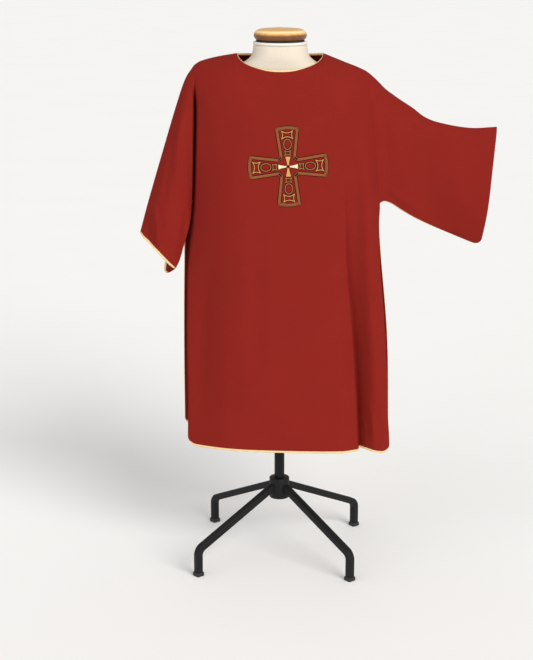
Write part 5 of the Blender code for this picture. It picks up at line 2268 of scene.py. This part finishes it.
@dataclass
class EmbroideredCross:
    """The cross on the chest: a band round four flared arms, with small shapes in each."""

    room: Workroom
    cloth: ChestCloth
    reach: float = 0.1120
    tip_half_width: float = 0.0325
    tip_bow: float = 0.0045
    tip_steps: int = 12
    root_reach: float = 0.0285
    root_half_width: float = 0.0225
    root_inset_share: float = 0.35
    band_width: float = 0.0078
    copper_half_width: float = 0.0021
    rim_inset: float = 0.0008
    rim_half_width: float = 0.00075
    thread_half_width: float = 0.0013
    thread_height: float = 0.0011
    rim_height: float = 0.0010
    step: float = 0.0012
    tip_spool: tuple[float, ...] = (0.0772, 0.1000, 0.0160, 0.0034, 0.0060)
    inner_spool: tuple[float, ...] = (0.0312, 0.0446, 0.0088, 0.0024, 0.0024)
    spool_steps: int = 10
    ring_place: float = 0.0622
    ring_radii: tuple[float, float] = (0.0142, 0.0105)
    ring_steps: int = 48
    small_reach: float = 0.0270
    small_root: float = 0.0058
    small_root_half: float = 0.0018
    small_tip_half: float = 0.0064
    small_flare: float = 1.4
    small_steps: int = 23
    small_height: float = 0.0014
    small_edge_half_width: float = 0.0006
    small_edge_height: float = 0.0012
    small_edge_step: float = 0.0008
    small_extra_margin: float = 0.0006
    dot_radius: float = 0.0054
    dot_half_width: float = 0.0007
    dot_steps: int = 24
    ground_margin: float = 0.0017
    ground_lift: float = 0.0003
    sharp_angle: float = 80.0
    arms: tuple[str, ...] = ("right", "top", "left", "bottom")
    bright: bpy.types.Material = field(default_factory=BRIGHT_BRONZE.material)
    plain: bpy.types.Material = field(default_factory=Slot.BRONZE_THREAD.dressed)
    grounds: list[StitchedLine] = field(default_factory=list)

    def arm(self, inset: float) -> Array:
        """The outline of the arm to the right, from its lower root round its tip.

        Args:
            inset: How far in from the cross's edge it runs.

        Returns:
            The outline's points.
        """
        reach, tip = self.reach - inset, self.tip_half_width - inset
        root, half = self.root_reach - inset * self.root_inset_share, self.root_half_width - inset
        z = np.linspace(-tip, tip, self.tip_steps + 1)
        bow = np.stack([reach - self.tip_bow * (z / tip) ** 2, z], axis=1)
        return np.concatenate([[(root, -half)], bow, [(root, half)]])

    def outline(self, inset: float) -> Array:
        """The outline of the whole cross, moved in by an inset."""
        arms = [quarter_turned(self.arm(inset), quarter) for quarter in range(4)]
        return smoothed(evenly(np.concatenate(arms), self.step, True), 4, True)

    def stitch(
        self, name: str, lines: Iterable[StitchedLine], finish: bpy.types.Material, slot: Slot
    ) -> bpy.types.Object:
        """Make one piece out of runs of stitches.

        Args:
            name: The piece's name.
            lines: The runs.
            finish: The material that dresses it.
            slot: The part's slot that it takes its finish from.

        Returns:
            The new object.
        """
        points, faces, values, before = [], [], [], 0
        for line in lines:
            line_points, line_faces, line_values = line.mesh(self.cloth)
            points.append(line_points)
            faces += [[n + before for n in face] for face in line_faces]
            values.append(line_values)
            before += len(line_points)
        places = {THREAD_PLACE: np.concatenate(values)}
        joined = np.concatenate(points)
        return self.room.piece(name, joined, faces, slot, places, finish, self.sharp_angle)

    def ground(self, line: StitchedLine, margin: float) -> None:
        """Keep a flat dark line that shows on both sides of a run of stitches.

        Args:
            line: The run of stitches.
            margin: How far the dark line shows on each side.
        """
        width = line.half_width + margin
        self.grounds.append(
            StitchedLine(line.flat, width, 0.0, line.closed, THIN_STEPS, self.ground_lift)
        )

    def band(self) -> None:
        """Stitch the copper band and the two lines beside it."""
        copper = []
        middle = self.band_width / 2.0
        for quarter in range(4):
            flat = quarter_turned(evenly(self.arm(middle), self.step, False), quarter)
            flat = smoothed(flat, 3, False)
            copper.append(
                StitchedLine(flat, self.copper_half_width, self.thread_height, False)
            )
        lines = [
            StitchedLine(
                self.outline(inset), self.rim_half_width, self.rim_height, True, THIN_STEPS
            )
            for inset in (self.rim_inset, self.band_width - self.rim_inset)
        ]
        self.ground(StitchedLine(self.outline(middle), middle, 0.0, True), self.ground_margin)
        band = self.stitch("cross_band_stitches", copper, COPPER.material(), Slot.BRONZE_THREAD)
        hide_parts("cross_band")
        self.stitch("cross_band_lines", lines, Slot.BRONZE_THREAD.dressed(), Slot.BRONZE_THREAD)

    def bobbin(self, start: float, end: float, half: float, waist: float, hollow: float) -> Array:
        """The outline of a shape with four corners and hollow sides, across the right arm.

        Args:
            start: Where it begins along the arm.
            end: Where it ends.
            half: Half its width at its corners.
            waist: How far its long sides bend in.
            hollow: How far its ends bend in.

        Returns:
            The outline's points.
        """
        t = np.linspace(-1.0, 1.0, self.spool_steps + 1)
        curve = 1.0 - t * t
        along = between(start, end, (t + 1.0) / 2.0)
        low = np.stack([along, -half + waist * curve], axis=1)
        far = np.stack([end - hollow * curve, t * half], axis=1)
        top = np.stack([along[::-1], half - waist * curve], axis=1)
        near = np.stack([start + hollow * curve, -t * half], axis=1)
        return np.concatenate([low[:-1], far[:-1], top[:-1], near[:-1]])

    def arm_shapes(self, quarter: int) -> None:
        """Stitch the two bobbins and the oval ring of one arm.

        Args:
            quarter: Which arm, counted from the one to the right.
        """
        ring = circle(self.ring_steps) * self.ring_radii + (self.ring_place, 0.0)
        shapes = (
            ("tip_spool", evenly(self.bobbin(*self.tip_spool), self.step, True), self.bright),
            ("inner_spool", evenly(self.bobbin(*self.inner_spool), self.step, True), self.plain),
            ("ring", ring, self.plain),
        )
        for shape, outline, finish in shapes:
            flat = quarter_turned(outline, quarter)
            line = StitchedLine(
                flat, self.thread_half_width, self.thread_height, True, THIN_STEPS
            )
            self.ground(line, self.ground_margin)
            name = f"cross_{shape}_{self.arms[quarter]}"
            made = self.stitch(f"{name}_stitches", [line], finish, Slot.BRONZE_THREAD)
            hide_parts(name)

    def middle(self) -> None:
        """Stitch the small cross: pale level arms, deeper gold upright ones, and its centre."""
        arms, edges = [], []
        x = np.linspace(self.small_root, self.small_reach, self.small_steps + 1)
        grown = (x - x[0]) / (x[-1] - x[0])
        half = between(self.small_root_half, self.small_tip_half, grown**self.small_flare)
        lower, upper = np.stack([x, -half], axis=1), np.stack([x, half], axis=1)
        for quarter in range(4):
            line = quarter_turned(np.stack([x, np.zeros(len(x))], axis=1), quarter)
            arms.append(StitchedLine(line, half, self.small_height, False, 2 * THIN_STEPS))
            self.ground(arms[-1], self.ground_margin + self.small_extra_margin)
            outline = quarter_turned(np.concatenate([lower, upper[::-1]]), quarter)
            edges.append(
                StitchedLine(
                    evenly(outline, self.small_edge_step, True),
                    self.small_edge_half_width,
                    self.small_edge_height,
                    True,
                    THIN_STEPS,
                )
            )
        pale, deep = arms[0::2], arms[1::2]
        made = self.stitch("cross_middle_level", pale, PALE_GOLD.material(), Slot.GOLD_THREAD)
        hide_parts("cross_middle")
        self.stitch("cross_middle_upright", deep, DEEP_GOLD.material(), Slot.GOLD_THREAD)
        self.stitch("cross_middle_edges", edges, Slot.GOLD_THREAD.dressed(), Slot.GOLD_THREAD)
        dot = circle(self.dot_steps) * self.dot_radius
        ring = StitchedLine(dot, self.dot_half_width, self.small_edge_height, True, THIN_STEPS)
        self.ground(StitchedLine(dot / 4.0, 0.0, 0.0, True), self.dot_radius / 4.0)
        self.stitch("cross_middle_ring", [ring], self.bright, Slot.BRONZE_THREAD)

    def build(self) -> None:
        """Stitch all of the cross."""
        self.band()
        for quarter in range(4):
            self.arm_shapes(quarter)
        self.middle()
        self.stitch("cross_ground", self.grounds, DARK_GROUND.material(), Slot.BRONZE_THREAD)


# The dress form and its stand


class FormRing(NamedTuple):
    """The form's half-width and its reach to the front and to the back at a height."""

    height: float
    half_width: float
    front: float
    back: float


@dataclass
class DressForm:
    """The padded torso, what closes its neck and the plate that it stands on."""

    room: Workroom
    squareness: float = 2.3
    sides: int = 192
    ring_step: float = 0.004
    cap_step: float = 0.0016
    seam_turns: tuple[float, ...] = (0.0, 58.0, 90.0, 122.0, 180.0, 236.0, 270.0, 304.0)
    seam_depth: float = 0.0009
    seam_width: float = 0.0035
    seam_top: float = 1.440
    seam_fade: float = 0.030
    rim_rises: tuple[float, ...] = (0.0015, 0.0030, 0.0055)
    waist_ring: int = 4
    rings: tuple[FormRing, ...] = (
        FormRing(0.800, 0.158, 0.108, 0.112),
        FormRing(0.806, 0.164, 0.114, 0.118),
        FormRing(0.870, 0.170, 0.118, 0.122),
        FormRing(0.950, 0.166, 0.113, 0.114),
        FormRing(1.030, 0.156, 0.105, 0.098),
        FormRing(1.100, 0.157, 0.107, 0.098),
        FormRing(1.190, 0.172, 0.117, 0.108),
        FormRing(1.280, 0.190, 0.120, 0.116),
        FormRing(1.350, 0.203, 0.112, 0.116),
        FormRing(1.400, 0.207, 0.100, 0.106),
        FormRing(1.432, 0.196, 0.089, 0.094),
        FormRing(1.452, 0.168, 0.082, 0.084),
        FormRing(1.468, 0.128, 0.078, 0.078),
        FormRing(1.482, 0.098, 0.076, 0.077),
        FormRing(1.498, 0.082, 0.075, 0.077),
        FormRing(1.528, 0.076, 0.073, 0.075),
    )
    trim: tuple[tuple[float, float], ...] = (
        (0.0000, 1.5284),
        (0.0740, 1.5284),
        (0.0752, 1.5286),
        (0.0766, 1.5298),
        (0.0772, 1.5324),
        (0.0766, 1.5350),
        (0.0752, 1.5362),
        (0.0740, 1.5364),
        (0.0000, 1.5364),
    )
    neck_plate: tuple[tuple[float, float], ...] = (
        (0.0000, 1.5368),
        (0.0684, 1.5368),
        (0.0690, 1.5374),
        (0.0690, 1.5402),
        (0.0684, 1.5408),
        (0.0000, 1.5408),
    )
    cap: tuple[tuple[float, float], ...] = (
        (0.0000, 1.5412),
        (0.0300, 1.5412),
        (0.0640, 1.5413),
        (0.0705, 1.5435),
        (0.0745, 1.5495),
        (0.0750, 1.5560),
        (0.0715, 1.5640),
        (0.0640, 1.5695),
        (0.0500, 1.5722),
        (0.0300, 1.5729),
        (0.0150, 1.5730),
        (0.0118, 1.5736),
        (0.0100, 1.5755),
        (0.0060, 1.5763),
        (0.0000, 1.5765),
    )
    base_plate: tuple[tuple[float, float], ...] = (
        (0.0000, 0.7840),
        (0.0860, 0.7840),
        (0.0900, 0.7841),
        (0.0930, 0.7854),
        (0.0940, 0.7880),
        (0.0940, 0.7990),
        (0.0934, 0.7996),
        (0.0000, 0.7996),
    )

    def around(self, rows: Array, directions: Array) -> tuple[Array, Array]:
        """The form's outline at rows of its table.

        Args:
            rows: A half-width, a reach to the front and a reach to the back in each row.
            directions: The cosine and sine of each turn round the form.

        Returns:
            The x and the y, a row for each row and a column for each direction.
        """
        c, s = directions.T
        power = 2.0 / self.squareness
        reach = np.where(s > 0, rows[:, 2:3], rows[:, 1:2])
        x = rows[:, 0:1] * (np.sign(c) * np.abs(c) ** power)
        return x, reach * (np.sign(s) * np.abs(s) ** power)

    def torso(self) -> None:
        """Make the torso with its linen cover drawn in a little at the seams."""
        first, last = self.rings[0].height, self.rings[-1].height
        heights = np.linspace(first, last, math.ceil((last - first) / self.ring_step) + 1)
        heights = np.sort(np.concatenate([heights, first + np.array(self.rim_rises)]))
        rows = SmoothCurve([r.height for r in self.rings], [r[1:] for r in self.rings]).at(heights)
        x, y = self.around(rows, circle(self.sides))
        z = np.broadcast_to(heights[:, None], x.shape)
        grid = np.stack([x, y, z], axis=-1)
        closed = np.concatenate([grid, grid[:, :1]], axis=1)
        around = running_length(closed, 1)
        nearest = np.abs(z - self.rings[self.waist_ring].height)
        for turn in np.radians(self.seam_turns):
            seam_x, seam_y = self.around(rows, np.array([(math.cos(turn), math.sin(turn))]))
            nearest = np.minimum(nearest, np.hypot(x - seam_x, y - seam_y))
        nearest = nearest + self.seam_width * 2.0 * eased((z - self.seam_top) / self.seam_fade)
        inward = -unit(np.stack([x, y, np.zeros(x.shape)], axis=-1))
        grid = grid + inward * (self.seam_depth * bell(nearest / self.seam_width))[..., None]
        faces = grid_faces(len(heights), self.sides, True, False)
        wrapped = np.concatenate([nearest, nearest[:, :1]], axis=1)
        levels = np.broadcast_to(heights[:, None], around.shape)
        place = np.stack([around, levels, wrapped], axis=-1)
        wide = grid_faces(len(heights), self.sides + 1, False, False)
        values = corner_values(wide, place.reshape(-1, 3))
        points = grid.reshape(-1, 3)
        under = list(range(self.sides))[::-1]
        over = [len(points) - self.sides + n for n in range(self.sides)]
        flat_values = np.column_stack([points[under + over][:, :2], np.ones(2 * self.sides)])
        places = {CLOTH_PLACE: np.concatenate([values, flat_values])}
        faces = [*faces.tolist(), under, over]
        made = self.room.piece("torso_linen", points, faces, Slot.LINEN, places)
        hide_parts("torso")

    def turned(self, name: str, turning: Turning, slot: Slot, node: str) -> None:
        """Make one round piece that stands for a node.

        Args:
            name: The piece's name.
            turning: Its shape.
            slot: The slot of its finish.
            node: The node that it stands for.
        """
        points, faces = turning.mesh()
        places = {}
        if slot is Slot.WHITE_TRIM:
            x, y, z = points[[n for face in faces for n in face]].T
            way = np.arctan2(y, x) * np.hypot(x, y)
            places = {CLOTH_PLACE: np.stack([way, z, np.ones(len(z))], axis=1)}
        made = self.room.piece(name, points, faces, slot, places)
        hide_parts(node)

    def build(self) -> None:
        """Make all of the form."""
        self.torso()
        self.turned("neck_tape", Turning(self.trim), Slot.WHITE_TRIM, "neck_trim")
        self.turned("neck_disc", Turning(self.neck_plate), Slot.BLACK_PLASTIC, "neck_plate")
        cap = Turning(self.cap, fine_step=self.cap_step)
        self.turned("turned_cap", cap, Slot.CAP_WOOD, "neck_cap")
        # The base plate lies wholly below the wood's painted shade, so it is painted dark all
        # over.
        self.turned("turned_base", Turning(self.base_plate), Slot.CAP_WOOD, "base_plate")


@dataclass
class Stand:
    """The pole, the hub and four bent legs of square tube, each on a plastic foot."""

    room: Workroom
    turn: float = math.radians(-4.5)
    leg_size: float = 0.020
    leg_corner: float = 0.0028
    leg_reach: float = 0.314
    start_height: float = 0.208
    knee_height: float = 0.080
    bend_radius: float = 0.026
    bend_steps: int = 12
    corner_steps: int = 4
    hub_radius: float = 0.030
    foot_size: float = 0.025
    foot_height: float = 0.012
    foot_corner: float = 0.0030
    hub_overlap: float = 0.002
    foot_gap: float = 0.0005
    straight_steps: int = 23
    drop_steps: int = 5
    weld_radius: float = 0.0022
    weld_step: float = 0.0012
    weld_sides: int = 8
    weld_lift: float = 0.0004
    weld_wobble: float = 0.12
    weld_beat: float = 1.9
    sharp_angle: float = 40.0
    corners: tuple[tuple[int, int], ...] = ((1, 1), (-1, 1), (-1, -1), (1, -1))
    names: tuple[str, ...] = ("right_back", "left_back", "left_front", "right_front")
    pole: tuple[tuple[float, float], ...] = (
        (0.0000, 0.2364),
        (0.0150, 0.2364),
        (0.0150, 0.2366),
        (0.0150, 0.7834),
        (0.0150, 0.7836),
        (0.0000, 0.7836),
    )
    hub: tuple[tuple[float, float], ...] = (
        (0.0000, 0.1720),
        (0.0265, 0.1720),
        (0.0288, 0.1727),
        (0.0300, 0.1750),
        (0.0300, 0.2330),
        (0.0288, 0.2352),
        (0.0265, 0.2360),
        (0.0000, 0.2360),
    )

    def rounded_square(self, half: float, radius: float) -> Array:
        """The outline of a square with round corners.

        Args:
            half: Half the side of the square.
            radius: The radius of its corners.

        Returns:
            The outline's points.
        """
        points = []
        for quarter, corner in enumerate(self.corners):
            steps = np.arange(self.corner_steps + 1) / self.corner_steps
            turns = math.pi / 2.0 * (quarter + steps)
            bend = radius * np.stack([np.cos(turns), np.sin(turns)], axis=1)
            points.append((half - radius) * np.array(corner) + bend)
        return np.concatenate(points)

    def leg_path(self) -> tuple[Array, Array]:
        """A leg's middle line, as distances from the pole and heights, and its directions.

        Returns:
            The line's points and the direction at each.
        """
        start = np.array([self.hub_radius - self.hub_overlap, self.start_height])
        knee = np.array([self.leg_reach, self.knee_height])
        slope = unit(knee - start)
        half_turn = math.acos(-slope[1]) / 2.0
        tangent = self.bend_radius * math.tan(half_turn)
        centre = knee + np.array([-self.bend_radius, -tangent])
        begin = math.atan2(*(knee - slope * tangent - centre)[::-1])
        turns = begin - 2.0 * half_turn * np.arange(self.bend_steps + 1) / self.bend_steps
        bend = centre + self.bend_radius * np.stack([np.cos(turns), np.sin(turns)], axis=1)
        straight = np.linspace(0.0, 1.0, self.straight_steps + 1)[:-1, None]
        foot = np.array([self.leg_reach, self.foot_height + self.foot_gap])
        drop = np.linspace(0.0, 1.0, self.drop_steps + 1)[1:, None]
        runs = (between(start, bend[0], straight), bend, between(bend[-1], foot, drop))
        path = np.concatenate(runs)
        return path, unit(np.gradient(path, axis=0))

    def leg(self, name: str, turn: float) -> None:
        """Make one leg.

        Args:
            name: Which leg.
            turn: Its turn round the pole.
        """
        path, runs = self.leg_path()
        outline = self.rounded_square(self.leg_size / 2.0, self.leg_corner)
        up = np.stack([-runs[:, 1], runs[:, 0]], axis=1)
        out = path[:, None, :] + up[:, None, :] * outline[None, :, 1:2]
        side = np.broadcast_to(outline[:, 0], out.shape[:2])
        points = swung(out[..., 0], side, out[..., 1], turn).reshape(-1, 3)
        count = len(outline)
        faces = self.capped(grid_faces(len(path), count, True, False), len(points), count)
        faces = [face[::-1] for face in faces]
        made = self.room.piece(f"leg_{name}_tube", points, faces, Slot.BLACK_METAL)
        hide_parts(f"leg_{name}")
        self.weld(name, path[1], up[1], turn)

    def capped(self, sides: Array, points: int, count: int) -> list[list[int]]:
        """The faces of a run of rings, with its first ring and its last closed.

        Args:
            sides: The faces between the rings.
            points: How many points there are.
            count: How many of them are in a ring.

        Returns:
            All the faces.
        """
        return [*sides.tolist(), list(range(count))[::-1], list(range(points - count, points))]

    def weld(self, name: str, middle: Array, up: Array, turn: float) -> None:
        """Lay the bead that joins a leg to the hub.

        Args:
            name: Which leg.
            middle: Where the leg's middle line meets the hub.
            up: The direction across the leg there.
            turn: The leg's turn round the pole.
        """
        outline = self.rounded_square(self.leg_size / 2.0, self.leg_corner)
        spread = evenly(outline, self.weld_step, True)
        wobble = 1.0 + self.weld_wobble * np.sin(np.arange(len(spread)) * self.weld_beat)
        height = middle[1] + up[1] * spread[:, 1]
        reach = np.sqrt(self.hub_radius**2 - spread[:, 0] ** 2) + self.weld_lift * wobble
        run = swung(reach, spread[:, 0], height, turn)
        points, faces, _ = Tube(run, self.weld_radius, True, self.weld_sides).mesh()
        self.room.piece(f"leg_{name}_weld", points, faces, Slot.BLACK_METAL)

    def foot(self, name: str, turn: float) -> None:
        """Make the plastic cap that a leg stands on.

        Args:
            name: Which leg.
            turn: Its turn round the pole.
        """
        half = self.foot_size / 2.0
        levels = (
            (half - 0.0012, 0.0),
            (half - 0.0004, 0.0004),
            (half, 0.0014),
            (half, self.foot_height - 0.0022),
            (half - 0.0005, self.foot_height - 0.0007),
            (half - 0.0018, self.foot_height),
            (self.leg_size / 2.0 + 0.0002, self.foot_height),
        )
        rings = []
        for size, height in levels:
            flat = self.rounded_square(size, self.foot_corner)
            level = np.full(len(flat), height)
            rings.append(swung(flat[:, 0] + self.leg_reach, flat[:, 1], level, turn))
        count = len(rings[0])
        points = np.concatenate(rings)
        faces = self.capped(grid_faces(len(rings), count, True, False), len(points), count)
        made = self.room.piece(f"foot_{name}_cap", points, faces, Slot.BLACK_PLASTIC)
        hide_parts(f"foot_{name}")

    def build(self) -> None:
        """Make all of the stand."""
        for node, profile in (("pole", self.pole), ("hub", self.hub)):
            points, faces = Turning(profile).mesh()
            made = self.room.piece(
                f"{node}_tube", points, faces, Slot.BLACK_METAL, sharp_angle=self.sharp_angle
            )
            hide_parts(node)
        for n, name in enumerate(self.names):
            turn = self.turn + math.pi / 4.0 + n * math.pi / 2.0
            self.leg(name, turn)
            self.foot(name, turn)


# The studio


@dataclass(frozen=True)
class SoftLight:
    """A soft light from far away."""

    name: str
    toward: tuple[float, float, float]
    strength: float
    spread: float
    colour: Colour


@dataclass
class Studio:
    """The floor, the lights and the camera."""

    axis: Vector
    floor_size: float = 120.0
    floor_finish: PaleFloor = PaleFloor("floor", (0.95, 0.95, 0.945), (0.92, 0.92, 0.91))
    sky: Colour = (1.0, 0.995, 0.985)
    sky_strength: float = 0.54
    sensor_width: float = 36.0
    lens: float = 89.5
    sight: float = 200.0
    camera_place: tuple[float, float, float] = (-0.039, -4.7, 1.9)
    camera_pitch: float = math.radians(14.4)
    lights: tuple[SoftLight, ...] = (
        SoftLight("key", (-0.58, 0.84, -0.62), 2.20, math.radians(34.0), (1.0, 0.975, 0.94)),
        SoftLight("fill", (0.75, 0.70, -0.50), 0.62, math.radians(60.0), (0.96, 0.98, 1.0)),
    )

    def floor(self) -> None:
        """Lay the floor."""
        half = self.floor_size / 2.0
        mesh = bpy.data.meshes.new("floor")
        corners = [(-half, -half, 0.0), (half, -half, 0.0), (half, half, 0.0), (-half, half, 0.0)]
        mesh.from_pydata(corners, [], [(0, 1, 2, 3)])
        mesh.materials.append(self.floor_finish.material())
        stood("floor", mesh)

    def light(self, light: SoftLight) -> None:
        """Set up one light.

        Args:
            light: The light.
        """
        data = bpy.data.lights.new(light.name, "SUN")
        data.energy = light.strength
        data.angle = light.spread
        data.color = light.colour
        made = stood(light.name, data)
        made.rotation_euler = Vector(light.toward).to_track_quat("-Z", "Y").to_euler()

    def camera(self) -> None:
        """Stand the camera where the garment is seen from the front and a little above."""
        data = bpy.data.cameras.new("camera")
        data.sensor_width = self.sensor_width
        data.lens = self.lens
        data.clip_end = self.sight
        made = stood("camera", data)
        made.location = Vector(self.camera_place) + self.axis
        made.rotation_euler = (math.pi / 2.0 - self.camera_pitch, 0.0, 0.0)
        bpy.context.scene.camera = made

    def build(self) -> None:
        """Make all of the studio."""
        world = bpy.data.worlds.new("studio")
        world.use_nodes = True
        background = world.node_tree.nodes["Background"]
        background.inputs["Color"].default_value = (*self.sky, 1.0)
        background.inputs["Strength"].default_value = self.sky_strength
        bpy.context.scene.world = world
        bpy.context.scene.view_settings.view_transform = "Standard"
        self.camera()
        self.floor()
        for light in self.lights:
            self.light(light)


def main() -> None:
    """Load the frame and build every piece round it."""
    logging.basicConfig(level=logging.INFO, format="%(message)s")
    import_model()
    low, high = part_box("torso")
    axis = Vector(((low.x + high.x) / 2.0, 0.0, 0.0))
    room = Workroom(axis)
    Studio(axis).build()
    pieces = Garment(room).build()
    EmbroideredCross(room, ChestCloth.of(pieces["front"])).build()
    DressForm(room).build()
    Stand(room).build()


if __name__ == "__main__":
    main()
